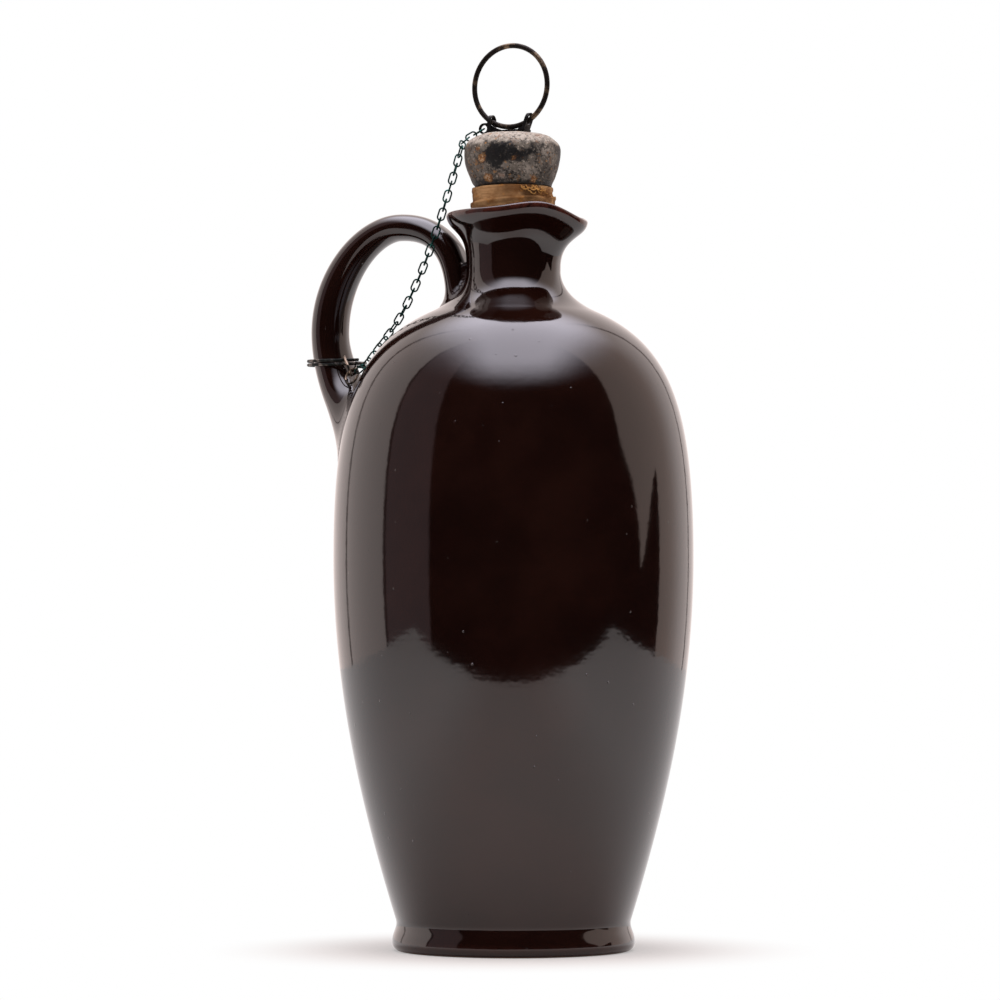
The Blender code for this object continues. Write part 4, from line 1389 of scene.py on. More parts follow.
@dataclass
class Stopper:
    """The stopper's cap and the bracket on it."""

    shape: PotShape = PotShape()
    wrap_bulge: float = 0.0011
    cap_standoff: float = 0.0148
    cap_height: float = 0.0145
    cap_skirt_inset: float = 0.0009
    cap_swell: float = 0.0029
    cap_swell_rise: float = 0.0095
    cap_flat_radius: float = 0.0050
    cap_wall: float = 0.0012
    cap_lean: float = -0.0003
    skirt_pull: Pair = (0.45, 0.25)
    swell_pull: Pair = (0.4, 0.65)
    crown_pull: float = 0.55
    rod_radius: float = 0.0012
    cap_steps: int = 144
    outside_steps: tuple[int, int] = (26, 24)
    inside_steps: tuple[int, int] = (8, 8)
    flat_steps: int = 6
    dent_scale: float = 260.0
    dent_bias: float = 0.35
    dent_depth: float = 0.00016
    pit_scale: float = 900.0
    pit_start: Place = (7.0, 3.0, 5.0)
    pit_bias: float = 0.1
    pit_depth: float = 0.00007
    crown_fade: float = 0.002
    skirt_fade: float = 0.0012
    bracket_merge: float = 1e-6
    bracket_flat: float = math.radians(2.0)
    bracket_sharp: float = math.radians(40.0)
    bracket_shade: float = math.radians(35.0)
    bracket_edge: float = 0.00014
    bracket_segments: int = 2
    bracket_draw: float = 0.74

    @property
    def cap_foot(self) -> float:
        """Return the height of the cap's lower edge."""
        return self.shape.throat + self.cap_standoff

    @property
    def cap_top(self) -> float:
        """Return the height of the cap's flat."""
        return self.cap_foot + self.cap_height

    @property
    def wrap_radius(self) -> float:
        """Return the radius of the tape above the lip."""
        return self.shape.mouth + self.wrap_bulge

    @property
    def skirt_radius(self) -> float:
        """Return the radius of the cap's lower edge."""
        return self.wrap_radius - self.cap_skirt_inset

    def cap_outline(self, steps: tuple[int, int]) -> Outline:
        """Return the cap's outside from its lower edge to the flat of its top.

        Args:
            steps: How many points its side and its crown get.

        Returns:
            The outline.
        """
        radius = self.skirt_radius + self.cap_swell
        swell = (radius, self.cap_foot + self.cap_swell_rise)
        flat = (self.cap_flat_radius, self.cap_top)
        out, up = self.skirt_pull
        below, above = self.swell_pull
        side = bezier(
            (self.skirt_radius, self.cap_foot),
            (self.skirt_radius + out * self.cap_swell, self.cap_foot + up * self.cap_swell_rise),
            (radius, swell[1] - below * self.cap_swell_rise),
            swell,
            steps[0],
        )
        crown = bezier(
            swell,
            (radius, swell[1] + above * (self.cap_height - self.cap_swell_rise)),
            (mix(self.cap_flat_radius, radius, self.crown_pull), self.cap_top),
            flat,
            steps[1],
        )
        return side + crown + [flat]

    def worn(self, point: Vector, normal: Vector) -> Vector:
        """Return how far a point of the new cap has moved, as old metal leans, dents and pits.

        Args:
            point: A point of the turned cap.
            normal: The way straight out of the cap there.

        Returns:
            The move.
        """
        dent = noise.noise(point * self.dent_scale) - self.dent_bias
        pit = max(noise.noise(point * self.pit_scale + Vector(self.pit_start)) - self.pit_bias, 0.0)
        share = smooth_step((math.hypot(point.x, point.y) - self.cap_flat_radius) / self.crown_fade)
        share *= smooth_step((point.z - self.cap_foot) / self.skirt_fade)
        lean = Vector((self.cap_lean * share, 0.0, 0.0))
        return lean + normal * share * (self.dent_depth * dent - self.pit_depth * pit)

    def build_cap(self, look: Material) -> None:
        """Turn the cap's shell and pit it as old metal is pitted.

        Args:
            look: The cap's finish.
        """
        coarse = self.cap_outline(self.inside_steps)
        inside = offset(coarse, [self.cap_wall] * len(coarse))
        inside[0] = (self.skirt_radius - self.cap_wall, self.cap_foot)
        bore = self.rod_radius + FINE_SEAM
        shares = [step / self.flat_steps for step in range(1, self.flat_steps + 1)]
        top = [(mix(self.cap_flat_radius, bore, share), self.cap_top) for share in shares]
        under = (bore, self.cap_top - self.cap_wall)
        loop = self.cap_outline(self.outside_steps) + top + [under] + inside[::-1]
        bm = turned(loop, self.cap_steps, closed=True)
        bm.normal_update()
        moves = [self.worn(vert.co, vert.normal) for vert in bm.verts]
        for vert, move in zip(bm.verts, moves):
            vert.co += move
        add_piece("stopper_cap_shell", bm, look, Body.STOPPER, ["stopper_cap"])

    def build_bracket(self, look: Material) -> None:
        """Copy the ring's bracket and round its edges as filed iron is rounded.

        Args:
            look: The bracket's finish.
        """
        bm = bmesh.new()
        bm.from_mesh(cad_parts["ring_bracket"].data)
        bmesh.ops.remove_doubles(bm, verts=bm.verts, dist=self.bracket_merge)
        bmesh.ops.dissolve_limit(bm, angle_limit=self.bracket_flat, verts=bm.verts, edges=bm.edges)
        low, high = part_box("ring_bracket")
        for vert in bm.verts:
            if vert.co.x > 0.0:
                share = smooth_step((vert.co.z - low[2]) / (high[2] - low[2]))
                vert.co.x *= mix(self.bracket_draw, 1.0, share)
        folded = [edge for edge in bm.edges if edge.is_manifold]
        bmesh.ops.bevel(
            bm,
            geom=[edge for edge in folded if edge.calc_face_angle() > self.bracket_sharp],
            offset=self.bracket_edge,
            affect="EDGES",
            segments=self.bracket_segments,
            profile=0.5,
            material=-1,
            clamp_overlap=True,
        )
        piece = add_piece("filed_bracket", bm, look, Body.STOPPER, ["ring_bracket"])
        piece.data.set_sharp_from_angle(angle=self.bracket_shade)


@dataclass
class CorkTape:
    """The cloth tape wound round the cork, and the threads that fray from it.

    Turns along the tape count from its end under the cap. A fade holds where it starts and how far it takes.
    """

    stopper: Stopper
    width: float = 0.0125
    turns: float = 2.15
    stretch: float = 0.985
    thickness: float = 0.00024
    layer_gap: float = 0.00003
    throat_gap: float = 0.00005
    along_steps: int = 240
    across_steps: int = 18
    end: float = math.radians(555.0)
    cap_gap: float = 0.0002
    fall: float = 0.0032
    slope: float = 0.0038
    front: float = 1.725
    fall_fade: Pair = (0.98, 0.45)
    layer_fade: Pair = (0.9, 0.14)
    lip_fade: Pair = (-0.002, 0.003)
    ragged: float = 0.00012
    ragged_scale: float = 14.0
    ragged_row: Pair = (3.0, 1.0)
    wrinkle: float = 0.00026
    wrinkle_scale: Pair = (2.2, 520.0)
    wrinkle_shift: float = 4.0
    wrinkle_least: float = 0.6
    hem: float = 0.00055
    hem_middle: float = 0.97
    hem_spread: float = 0.05
    gather: float = math.radians(2.0)
    gather_fade: Pair = (0.72, 0.2)
    ridge: float = 0.0018
    ridge_bias: float = 0.05
    ridge_scale: Triple = (2.6, 900.0, 2.0)
    ridge_row: float = 2.0
    thread_count: int = 10
    thread_span: Pair = (math.radians(-56.0), math.radians(-22.0))
    thread_shift: float = math.radians(9.0)
    thread_spread: Pair = (math.radians(9.0), math.radians(14.0))
    thread_drop: Pair = (0.0010, 0.0016)
    thread_hang: Pair = (0.0006, 0.0010)
    thread_curl: float = 2.2
    thread_lift: float = 0.4
    thread_sway: float = math.radians(7.0)
    thread_gap: float = 0.0001
    thread_loft: float = 0.0003
    thread_top: float = 0.0004
    thread_rows: tuple[Pair, ...] = ((1.7, 0.4), (2.3, 5.0), (4.1, 7.0), (2.9, 1.0))
    sway_row: Triple = (3.1, 3.4, 9.0)
    lift_row: Triple = (1.3, 4.2, 2.0)
    thread_half: float = 0.00013
    thread_sides: int = 6
    thread_steps: int = 14

    def build(self, look: Material, thread_look: Material) -> None:
        """Wind a cloth tape twice round the cork, from under the cap down into the throat.

        Args:
            look: The tape's finish.
            thread_look: The finish of its frayed threads.
        """
        length = self.turns * FULL_TURN * self.stopper.wrap_radius * self.stretch
        bm = bmesh.new()
        flat = bm.loops.layers.uv.new("flat")
        bmesh.ops.create_grid(
            bm,
            x_segments=self.along_steps,
            y_segments=self.across_steps,
            size=0.5,
            matrix=Matrix.Translation((0.5, 0.5, 0.0)),
        )
        for face in bm.faces:
            for loop in face.loops:
                loop[flat].uv = (loop.vert.co.x * length, loop.vert.co.y * self.width)
        for vert in bm.verts:
            vert.co = self.wound(vert.co.x, vert.co.y)
        bmesh.ops.recalc_face_normals(bm, faces=bm.faces)
        middle = bm.faces[:][len(bm.faces) // 2]
        if middle.normal.dot(Vector((*middle.calc_center_median().xy, 0.0))) < 0.0:
            bmesh.ops.reverse_faces(bm, faces=bm.faces)
        bmesh.ops.solidify(bm, geom=bm.faces[:], thickness=self.thickness)
        piece = add_piece("cork_tape", bm, look, Body.STOPPER, ["cork_wrap"])
        threads = self.build_threads(thread_look)

    def radius(self, height: float, layer: float) -> float:
        """Return the radius of the tape's outside at a height.

        Args:
            height: The height.
            layer: How many turns lie over the first.

        Returns:
            The radius in metres.
        """
        shape = self.stopper.shape
        seated = shape.throat_radius(height) - SEAM - self.throat_gap
        share = smooth_step((height - shape.throat) / (shape.lip - shape.throat))
        full = mix(seated, self.stopper.wrap_radius, share)
        return full - (1.0 - layer) * (self.thickness + self.layer_gap)

    def wound(self, share: float, across: float) -> Vector:
        """Return where a point of the flat tape lies once it is wound.

        Args:
            share: Its place along the tape, from the end under the cap.
            across: Its place across the tape, from the lower edge.

        Returns:
            The place of the tape's outer face.
        """
        turned_by = share * self.turns
        turn = self.end - turned_by * FULL_TURN
        lowered = self.fall + self.slope * (turned_by - self.front)
        top = self.stopper.cap_foot - self.cap_gap - lowered * faded(turned_by, self.fall_fade)
        ragged = self.ragged * noise.noise(Vector((turned_by * self.ragged_scale, *self.ragged_row)))
        height = top + ragged - self.width * (1.0 - across)
        layer = faded(turned_by, self.layer_fade)
        in_view = faded(height - self.stopper.shape.lip, self.lip_fade)
        round_scale, up_scale = self.wrinkle_scale
        around = Vector((math.cos(turn), math.sin(turn), 0.0))
        spot = around * round_scale + UP * height * up_scale
        creases = noise.noise(spot + Vector((self.wrinkle_shift * layer, 0.0, 0.0)))
        creases *= mix(self.wrinkle_least, 1.0, layer)
        fold = math.exp(-(((across - self.hem_middle) / self.hem_spread) ** 2)) * layer
        gathered = faded(math.cos(turn - self.gather), self.gather_fade)
        turn_scale, rise_scale, skew = self.ridge_scale
        spot = Vector((turn * turn_scale, height * rise_scale + turn * skew, self.ridge_row + layer))
        ridges = gathered * max(abs(noise.noise(spot)) - self.ridge_bias, 0.0)
        out = self.wrinkle * creases + self.hem * fold - self.ridge * ridges
        return around * (self.radius(height, layer) + in_view * out) + UP * height

    def thread_route(self, index: int) -> list[Vector]:
        """Return the points of one frayed thread.

        Args:
            index: Which thread.

        Returns:
            The points, from the end in the tape's edge.
        """
        chances = [noise.noise(Vector((index * pace, row, 0.0))) for pace, row in self.thread_rows]
        turn = mix(*self.thread_span, index / (self.thread_count - 1)) + self.thread_shift * chances[0]
        ranges = (self.thread_drop, self.thread_spread, self.thread_hang)
        drop, spread, hang = (mean + swing * chance for (mean, swing), chance in zip(ranges, chances[1:]))
        route = []
        for step in range(self.thread_steps + 1):
            share = step / self.thread_steps
            sway, lift = (
                noise.noise(Vector((index * pace, share * rate, row)))
                for pace, rate, row in (self.sway_row, self.lift_row)
            )
            way = turn + spread * share + self.thread_sway * sway
            loft = self.thread_loft * math.sin(math.pi * share)
            radius = self.stopper.wrap_radius + self.thread_gap + loft
            fall = self.thread_top + drop * math.sin(self.thread_curl * share)
            fall += hang * (lift + self.thread_lift)
            level = self.stopper.cap_foot - fall
            route.append(Vector((radius * math.cos(way), radius * math.sin(way), level)))
        return route

    def build_threads(self, look: Material) -> Piece:
        """Fray a few threads from the tape's upper edge.

        Args:
            look: The threads' finish.

        Returns:
            The threads.
        """
        bm = bmesh.new()
        for index in range(self.thread_count):
            route = self.thread_route(index)
            frames = []
            for step, spot in enumerate(route):
                along = (route[min(step + 1, self.thread_steps)] - route[max(step - 1, 0)]).normalized()
                side = along.cross(UP).normalized()
                section = Matrix((side * self.thread_half, side.cross(along) * self.thread_half, along))
                frames.append(Matrix.Translation(spot) @ section.transposed().to_4x4())
            skinned(bm, frames, self.thread_sides)
        bmesh.ops.recalc_face_normals(bm, faces=bm.faces)
        flat = bm.loops.layers.uv.new("flat")
        for face in bm.faces:
            for loop in face.loops:
                loop[flat].uv = (0.0, self.width / 2)
        return add_piece("frayed_threads", bm, look, Body.STOPPER)


def wire_frame(name: str) -> tuple[Matrix, Vector]:
    """Return the place of a bent wire piece and its sizes, as its CAD solid has them.

    Args:
        name: The CAD node of the piece.

    Returns:
        The piece's frame, long along X and thin along Z, and its three sizes.
    """
    points = np.array([vert.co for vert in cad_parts[name].data.vertices])
    points = np.unique(points.round(SAME_DIGITS), axis=0)
    _, axes = np.linalg.eigh(np.cov(points.T))
    axes = axes[:, ::-1]
    if np.linalg.det(axes) < 0:
        axes[:, 2] *= -1
    local = points @ axes
    low, high = local.min(0), local.max(0)
    place = Matrix(axes.tolist()).to_4x4()
    place.translation = Vector(axes @ ((low + high) / 2))
    return place, Vector(high - low)


def verts_of(geom: Iterable[Any]) -> list[Vert]:
    """Return the vertices among parts of a mesh."""
    return [item for item in geom if isinstance(item, Vert)]


def edges_of(geom: Iterable[Any]) -> list[Edge]:
    """Return the edges among parts of a mesh."""
    return [item for item in geom if isinstance(item, Edge)]


@dataclass
class WireWork:
    """Everything bent from wire: the pull ring, the chain and the rings on the handle."""

    ring_radius: float = 0.0109
    ring_wire: float = 0.0014
    ring_steps: int = 120
    split_radius: float = 0.0078
    split_wire: float = 0.00072
    split_height: float = 0.00084
    split_pitch: float = 0.00105
    split_lean: float = math.radians(3.5)
    split_lean_turn: float = math.radians(24.0)
    split_turns: float = 2.0
    split_steps: int = 22
    split_fineness: int = 4
    drape_links: int = 5
    links: int = 30
    sides: int = 14
    bend_steps: int = 14
    small_ring_steps: int = 36
    round_share: float = 0.08

    def section(self, bm: Mesh, place: Vector, wire: float) -> list[Any]:
        """Add the round section of a wire that runs along X.

        Args:
            bm: The mesh that gets it.
            place: The section's middle.
            wire: The wire's diameter.

        Returns:
            The section's vertices and edges.
        """
        turn = Matrix.Translation(place) @ Matrix.Rotation(math.pi / 2, 4, "Y")
        verts = bmesh.ops.create_circle(bm, segments=self.sides, radius=wire / 2, matrix=turn)["verts"]
        return verts + list({edge for vert in verts for edge in vert.link_edges})

    def bend(self, bm: Mesh, geom: list[Any], centre: Vector, angle: float, steps: int) -> list[Any]:
        """Carry a section round a bend in the XY plane.

        Args:
            bm: The mesh.
            geom: The section.
            centre: The bend's centre.
            angle: How far it bends.
            steps: In how many steps.

        Returns:
            The section at the end of the bend.
        """
        whole = math.isclose(angle, FULL_TURN)
        done = bmesh.ops.spin(bm, geom=geom, cent=centre, axis=UP, angle=angle, steps=steps, use_merge=whole)
        return done["geom_last"]

    def closed_ring(self, radius: float, wire: float, steps: int) -> Mesh:
        """Return a wire bent into a closed ring in the XY plane.

        Args:
            radius: The radius of the wire's middle.
            wire: The wire's diameter.
            steps: How many steps the ring has.

        Returns:
            The ring's mesh.
        """
        bm = bmesh.new()
        geom = self.section(bm, Vector((0.0, -radius, 0.0)), wire)
        self.bend(bm, geom, Vector(), FULL_TURN, steps)
        bmesh.ops.remove_doubles(bm, verts=bm.verts, dist=MERGE_DISTANCE)
        bmesh.ops.recalc_face_normals(bm, faces=bm.faces)
        return bm

    def oval_link(self, length: float, width: float, wire: float) -> Mesh:
        """Return a wire bent into a long link in the XY plane, from its outside sizes.

        Args:
            length: The link's length.
            width: Its width.
            wire: The wire's diameter.

        Returns:
            The link's mesh.
        """
        radius = (width - wire) / 2
        reach = length / 2 - width / 2
        bm = bmesh.new()
        first = self.section(bm, Vector((reach, -radius, 0.0)), wire)
        first_edges = edges_of(first)
        geom = self.bend(bm, first, Vector((reach, 0.0, 0.0)), math.pi, self.bend_steps)
        grown = bmesh.ops.extrude_edge_only(bm, edges=edges_of(geom))["geom"]
        verts = verts_of(grown)
        bmesh.ops.translate(bm, verts=verts, vec=(-2 * reach, 0.0, 0.0))
        loop = verts + [edge for edge in edges_of(grown) if set(edge.verts) <= set(verts)]
        geom = self.bend(bm, loop, Vector((-reach, 0.0, 0.0)), math.pi, self.bend_steps)
        bmesh.ops.bridge_loops(bm, edges=edges_of(geom) + first_edges)
        bmesh.ops.recalc_face_normals(bm, faces=bm.faces)
        return bm

    def build_pull_ring(self, look: Material) -> None:
        """Bend the pull ring and stand it where its solid stands.

        Args:
            look: The ring's finish.
        """
        place, _ = wire_frame("pull_ring")
        bm = self.closed_ring(self.ring_radius, self.ring_wire, self.ring_steps)
        bmesh.ops.transform(bm, matrix=place, verts=bm.verts)
        add_piece("wire_pull_ring", bm, look, Body.PULL_RING, ["pull_ring"])

    def build_link(self, node: str, name: str, look: Material, body: Body) -> None:
        """Bend one link of the chain where its solid lies.

        Args:
            node: The CAD node that it stands for.
            name: The piece's name.
            look: Its finish.
            body: The body that carries it.
        """
        place, size = wire_frame(node)
        if size.x - size.y < self.round_share * size.x:
            outside = (size.x + size.y) / 2
            bm = self.closed_ring((outside - size.z) / 2, size.z, self.small_ring_steps)
        else:
            bm = self.oval_link(size.x, size.y, size.z)
        bmesh.ops.transform(bm, matrix=place, verts=bm.verts)
        add_piece(name, bm, look, body, [node])

    def build_chain(self, look: Material, hook_look: Material) -> None:
        """Bend the top ring, every link, and the ring and hook at the chain's lower end.

        Args:
            look: The chain's finish.
            hook_look: The finish of the ring and hook at its lower end.
        """
        self.build_link("chain_top_ring", "top_ring", look, Body.STOPPER)
        for index in range(1, self.links + 1):
            body = Body.STOPPER if index <= self.drape_links else Body.CHAIN
            self.build_link(f"chain_link_{index:02d}", f"link_{index:02d}", look, body)
        self.build_link("chain_end_ring", "end_ring", hook_look, Body.HANDLE_RING)
        self.build_link("hook_link", "long_hook", hook_look, Body.HANDLE_RING)

    def build_split_ring(self, look: Material) -> None:
        """Wind the split ring that hangs on the handle.

        Args:
            look: The ring's finish.
        """
        low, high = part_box("handle_ring")
        steps = int(self.split_turns * self.split_steps) - 1
        bm = bmesh.new()
        geom = self.section(bm, Vector((0.0, -self.split_radius, 0.0)), self.split_wire)
        first = verts_of(geom)
        bmesh.ops.scale(bm, verts=first, vec=(1.0, 1.0, self.split_height / self.split_wire))
        bmesh.ops.rotate(bm, verts=first, cent=ORIGIN, matrix=Matrix.Rotation(math.pi / 2, 3, "Z"))
        bmesh.ops.translate(bm, verts=first, vec=(0.0, 0.0, -self.split_pitch * self.split_turns / 2))
        bmesh.ops.contextual_create(bm, geom=first)
        done = bmesh.ops.spin(
            bm,
            geom=geom,
            cent=ORIGIN,
            axis=UP,
            dvec=(0.0, 0.0, self.split_pitch / self.split_steps / self.split_fineness),
            angle=FULL_TURN * steps / self.split_steps,
            steps=steps * self.split_fineness,
            use_merge=False,
        )
        bmesh.ops.contextual_create(bm, geom=verts_of(done["geom_last"]))
        bmesh.ops.recalc_face_normals(bm, faces=bm.faces)
        axis = Vector((math.cos(self.split_lean_turn), math.sin(self.split_lean_turn), 0.0))
        lean = Matrix.Rotation(self.split_lean, 3, axis)
        bmesh.ops.rotate(bm, verts=bm.verts, cent=ORIGIN, matrix=lean)
        points = np.array([vert.co for vert in bm.verts])
        middle = (low + high) / 2 - Vector((points.min(0) + points.max(0)) / 2)
        bmesh.ops.translate(bm, verts=bm.verts, vec=middle)
        add_piece("split_ring", bm, look, Body.HANDLE_RING, ["handle_ring"])


@dataclass
class Studio:
    """The light tent round the flask, the table it stands on and the camera.

    Bearings are level angles from the way to the camera, to its right. A rise is the sine of an angle up.
    """

    azimuth: float = math.radians(24.0)
    distance: float = 1.12
    camera_height: float = 0.080
    lens: float = 151.2
    image_width: float = 1000.0
    axis_pixel: float = 513.5
    aim_height: float = 0.1197
    pixel: float = 0.000266
    table_side: float = 0.66
    table_edge: float = 0.31
    table_back: float = 3.0
    # Painted shade and light: the table's strip in front of the flask is darker and warmer as if shaded, and
    # its sides are lighter as if lit.
    table_front_shade: Colour = (0.76, 0.65, 0.63)
    table_lit_side: Colour = (0.94, 0.87, 0.86)
    table_shade_fade: Pair = (0.04, 0.22)
    # Painted glow: the table behind the flask glows in reflections although it is no lamp.
    table_glossy_glow: Colour = (1.00, 0.94, 0.94)
    glossy_glow_span: Pair = (-0.6, 0.6)
    shadow_span: Pair = (0.034, 0.085)
    shadow_lift: float = 0.35
    ambient: float = 0.62
    lamp_power: float = 7.0
    lamp_size: float = 0.7
    lamp_height: float = 0.95
    lamp_front: float = 0.12
    room: Colour = (0.016, 0.013, 0.013)
    tent: Colour = (1.20, 1.04, 1.0)
    edge_blur: float = math.radians(1.0)
    right_rise: Pair = (0.0, 0.31)
    right_edge: Pair = (math.radians(88.0), math.radians(76.0))
    split_span: Pair = (math.radians(87.0), math.radians(106.5))
    split_rise: Pair = (0.0, 0.15)
    side_panel: Colour = (0.92, 0.73, 0.66)
    panel_fade: Pair = (2.0, 2.4)
    flap: Colour = (0.33, 0.24, 0.25)
    flap_span: Pair = (math.radians(55.0), math.radians(91.0))
    seams: tuple[float, ...] = (math.radians(-134.0), math.radians(-90.0), math.radians(150.0))
    seam_width: float = math.radians(1.6)
    seam_shade: float = 0.75
    ceiling: Colour = (4.7, 4.5, 5.1)
    ceiling_rise: Pair = (0.64, 0.92)
    ceiling_middle: float = 0.05
    ceiling_span: Pair = (0.22, 0.70)
    ceiling_least: float = 0.12

    @property
    def towards(self) -> Vector:
        """Return the level direction from the flask to the camera."""
        return Vector((math.sin(self.azimuth), -math.cos(self.azimuth), 0.0))

    @property
    def right(self) -> Vector:
        """Return the level direction to the camera's right."""
        return Vector((math.cos(self.azimuth), math.sin(self.azimuth), 0.0))

    def build(self) -> None:
        """Set up the camera, the world, the table and the lamp."""
        bpy.context.scene.view_settings.view_transform = "Standard"
        self.build_camera()
        self.build_world()
        self.build_table()
        self.build_lamp()

    def build_camera(self) -> None:
        """Stand the camera where the photograph was taken from."""
        data = bpy.data.cameras.new("camera")
        data.lens = self.lens
        camera = bpy.data.objects.new("camera", data)
        bpy.context.scene.collection.objects.link(camera)
        aside = (self.image_width / 2 - self.axis_pixel) * self.pixel
        aim = self.right * aside + UP * self.aim_height
        camera.location = self.towards * self.distance + UP * self.camera_height
        camera.rotation_euler = (aim - camera.location).to_track_quat("-Z", "Y").to_euler()
        bpy.context.scene.camera = camera

    def along(self, nodes: Nodes, way: Any, direction: Vector) -> Socket:
        """Return how far a vector reaches along a direction."""
        return nodes.vector_math("DOT_PRODUCT", way, tuple(direction)).outputs["Value"]

    def past(self, nodes: Nodes, value: Any, edge: Any) -> Socket:
        """Return where a value lies past an edge, a little blurred."""
        return nodes.ramp(nodes.minus(value, edge), -self.edge_blur, self.edge_blur)

    def tent_colour(self, nodes: Nodes) -> Socket:
        """Return the colour of a white tent that is open to a dark room in front.

        Args:
            nodes: The world's nodes.

        Returns:
            The colour.
        """
        way = nodes.add("ShaderNodeTexCoord").outputs["Generated"]
        side = self.along(nodes, way, self.right)
        rise = nodes.axis(way, "Z")
        bearing = nodes.math("ARCTAN2", side, self.along(nodes, way, self.towards))

        on_right = nodes.math("GREATER_THAN", bearing, 0.0)
        closed = self.past(nodes, bearing, nodes.ramp(rise, *self.right_rise, *self.right_edge))
        split = nodes.math("LESS_THAN", rise, nodes.ramp(bearing, *self.split_span, *self.split_rise))
        split = nodes.times(split, on_right)
        split = nodes.times(split, nodes.math("LESS_THAN", bearing, self.split_span[1]))
        opening = nodes.math("MAXIMUM", nodes.minus(1.0, closed), split)
        panel = nodes.times(nodes.ramp(bearing, *self.panel_fade, 1.0, 0.0), on_right)
        colour = nodes.blend(panel, self.tent, self.side_panel)
        colour = nodes.blend(opening, colour, self.room)
        left = nodes.times(bearing, -1.0)
        for edge, cloth in zip(self.flap_span, (self.flap, self.tent)):
            colour = nodes.blend(self.past(nodes, left, edge), colour, cloth)
        for seam in self.seams:
            apart = nodes.math("ABSOLUTE", nodes.minus(bearing, seam))
            line = nodes.ramp(apart, self.seam_width / 2, self.seam_width, self.seam_shade, 0.0)
            colour = nodes.blend(line, colour, self.room)

        aside = nodes.math("ABSOLUTE", nodes.minus(side, self.ceiling_middle))
        narrow = nodes.ramp(aside, *self.ceiling_span, 1.0, self.ceiling_least)
        above = nodes.times(nodes.ramp(rise, *self.ceiling_rise), narrow)
        return nodes.blend(above, colour, self.ceiling)

    def build_world(self) -> None:
        """Light the flask evenly, show its gloss the tent, and show the camera white."""
        world = bpy.data.worlds.new("light_tent")
        world.use_nodes = True
        bpy.context.scene.world = world
        nodes = Nodes(world.node_tree)
        path = nodes.add("ShaderNodeLightPath").outputs
        shade = nodes.blend(path["Is Glossy Ray"], (self.ambient,) * 3, self.tent_colour(nodes))
        seen = nodes.math("MAXIMUM", path["Is Camera Ray"], path["Is Transmission Ray"])
        nodes.fill(world.node_tree.nodes["Background"], Color=nodes.blend(seen, shade, WHITE))

    def table_material(self) -> Material:
        """Mix a pale cloth that keeps the shadow and fades to white, with painted shade on its front strip,
        painted light at its sides, and a painted glow behind the flask that shows only in reflections.

        Returns:
            The material.
        """
        material = bpy.data.materials.new("pale_table")
        material.use_nodes = True
        nodes = Nodes(material.node_tree)
        material.node_tree.nodes.remove(material.node_tree.nodes["Principled BSDF"])
        place = nodes.place()
        path = nodes.add("ShaderNodeLightPath").outputs
        # Painted shade on the front strip and painted light at the sides, set by the distance from the line
        # through the flask to the camera.
        aside = nodes.math("ABSOLUTE", self.along(nodes, place, self.right))
        tone = nodes.blend(nodes.ramp(aside, *self.table_shade_fade), self.table_front_shade, self.table_lit_side)
        cloth = nodes.add("ShaderNodeBsdfDiffuse", {"Color": tone})
        glow = nodes.add("ShaderNodeEmission", {"Color": WHITE, "Strength": 1.0})
        away = nodes.vector_math("LENGTH", place, ORIGIN).outputs["Value"]
        white = nodes.times(nodes.ramp(away, *self.shadow_span, self.shadow_lift, 1.0), path["Is Camera Ray"])
        seen = nodes.add("ShaderNodeMixShader", {0: white, 1: cloth.outputs[0], 2: glow.outputs[0]})
        # Painted glow: behind the flask, reflected rays see the table glow.
        shine = nodes.add("ShaderNodeEmission", {"Color": self.table_glossy_glow, "Strength": 1.0})
        way = nodes.vector_math("NORMALIZE", place, ORIGIN).outputs["Vector"]
        behind = nodes.ramp(self.along(nodes, way, self.towards), *self.glossy_glow_span, 1.0, 0.0)
        glossy_glow_share = nodes.times(behind, path["Is Glossy Ray"])
        result = nodes.add("ShaderNodeMixShader", {0: glossy_glow_share, 1: seen.outputs[0], 2: shine.outputs[0]})
        nodes.fill(material.node_tree.nodes["Material Output"], Surface=result.outputs[0])
        return material

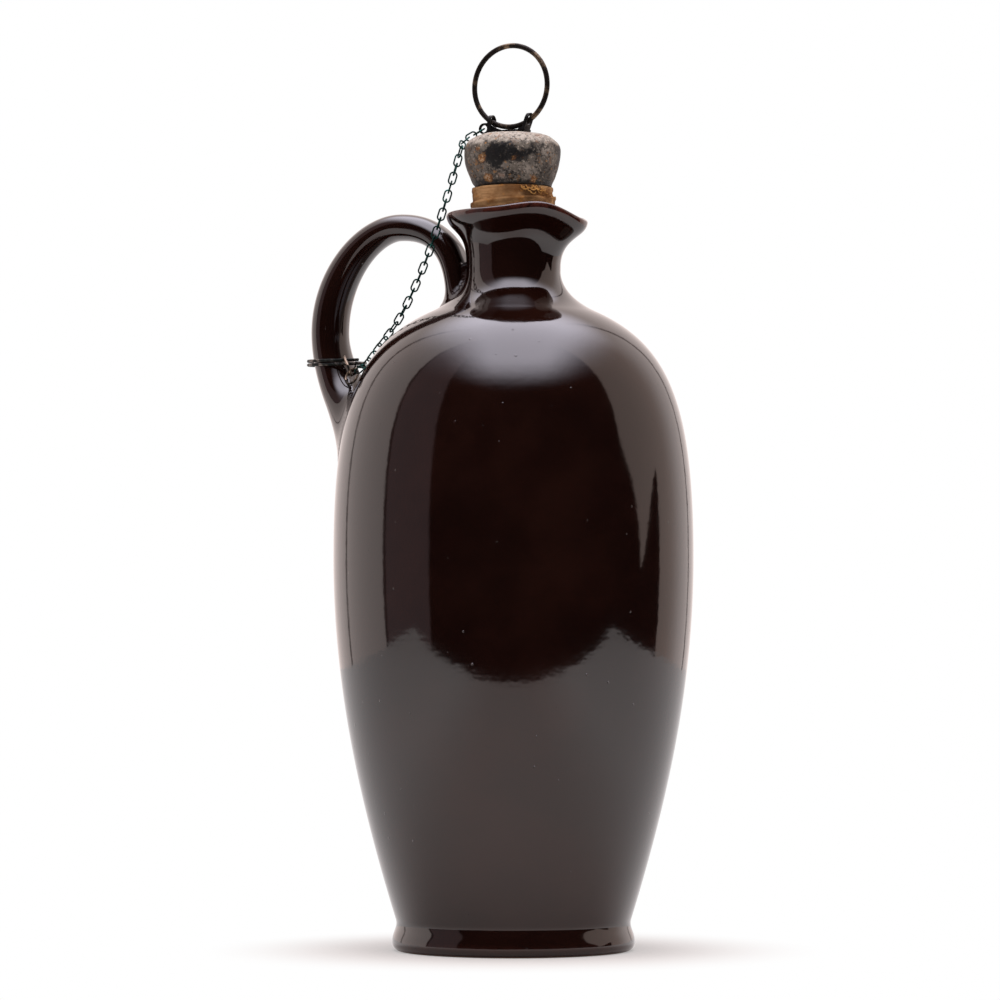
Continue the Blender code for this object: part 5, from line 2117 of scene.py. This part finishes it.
    def build_table(self) -> None:
        """Lay the pale table, which ends in front of the flask."""
        bm = bmesh.new()
        bmesh.ops.create_grid(bm, x_segments=1, y_segments=1, size=1.0)
        depth = (self.table_back + self.table_edge) / 2
        bmesh.ops.scale(bm, verts=bm.verts, vec=(self.table_side, depth, 1.0))
        bmesh.ops.translate(bm, verts=bm.verts, vec=(0.0, depth - self.table_edge, 0.0))
        turn = Matrix.Rotation(self.azimuth, 3, "Z")
        bmesh.ops.rotate(bm, verts=bm.verts, cent=ORIGIN, matrix=turn)
        mesh = bpy.data.meshes.new("table")
        bm.to_mesh(mesh)
        bm.free()
        mesh.materials.append(self.table_material())
        table = bpy.data.objects.new("table", mesh)
        bpy.context.scene.collection.objects.link(table)

    def build_lamp(self) -> None:
        """Hang a soft lamp above the flask."""
        data = bpy.data.lights.new("softbox", "AREA")
        data.energy = self.lamp_power
        data.size = self.lamp_size
        lamp = bpy.data.objects.new("softbox", data)
        lamp.location = self.towards * self.lamp_front + UP * self.lamp_height
        lamp.visible_glossy = False
        bpy.context.scene.collection.objects.link(lamp)


def dress(nodes: Sequence[str], look: Material) -> None:
    """Give CAD nodes that stay in view their finish.

    Args:
        nodes: The nodes.
        look: Their material.
    """
    for name in nodes:
        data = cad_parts[name].data
        data.materials.clear()
        data.materials.append(look)
        LOG.info("%s: dressed with %s", name, look.name)


def main() -> None:
    """Build every piece of the flask and the studio round it."""
    logging.basicConfig(level=logging.INFO, format="%(message)s")
    metals = {metal.name: metal.material() for metal in METALS}
    stopper = Stopper()
    tape = CorkTape(stopper)
    wires = WireWork()
    thread = WovenTape("frayed_thread", tan=(0.60, 0.30, 0.095), brown=(0.38, 0.165, 0.045), grime_and_shadow_tone=0.0)
    Pot().build(TreacleGlaze().material())
    stopper.build_cap(CorrodedCap().material())
    tape.build(WovenTape(width=tape.width).material(), thread.material())
    stopper.build_bracket(metals["black_saddle"])
    wires.build_pull_ring(metals["tarnished_ring"])
    wires.build_chain(metals["blackened_wire"], metals["bronzed_hook"])
    wires.build_split_ring(metals["grey_split_ring"])
    dress(["stopper_cork"], BarkCork().material())
    dress(["stopper_rod", "rod_washer", "rod_nut"], metals["dull_steel"])
    Studio().build()


if __name__ == "__main__":
    main()
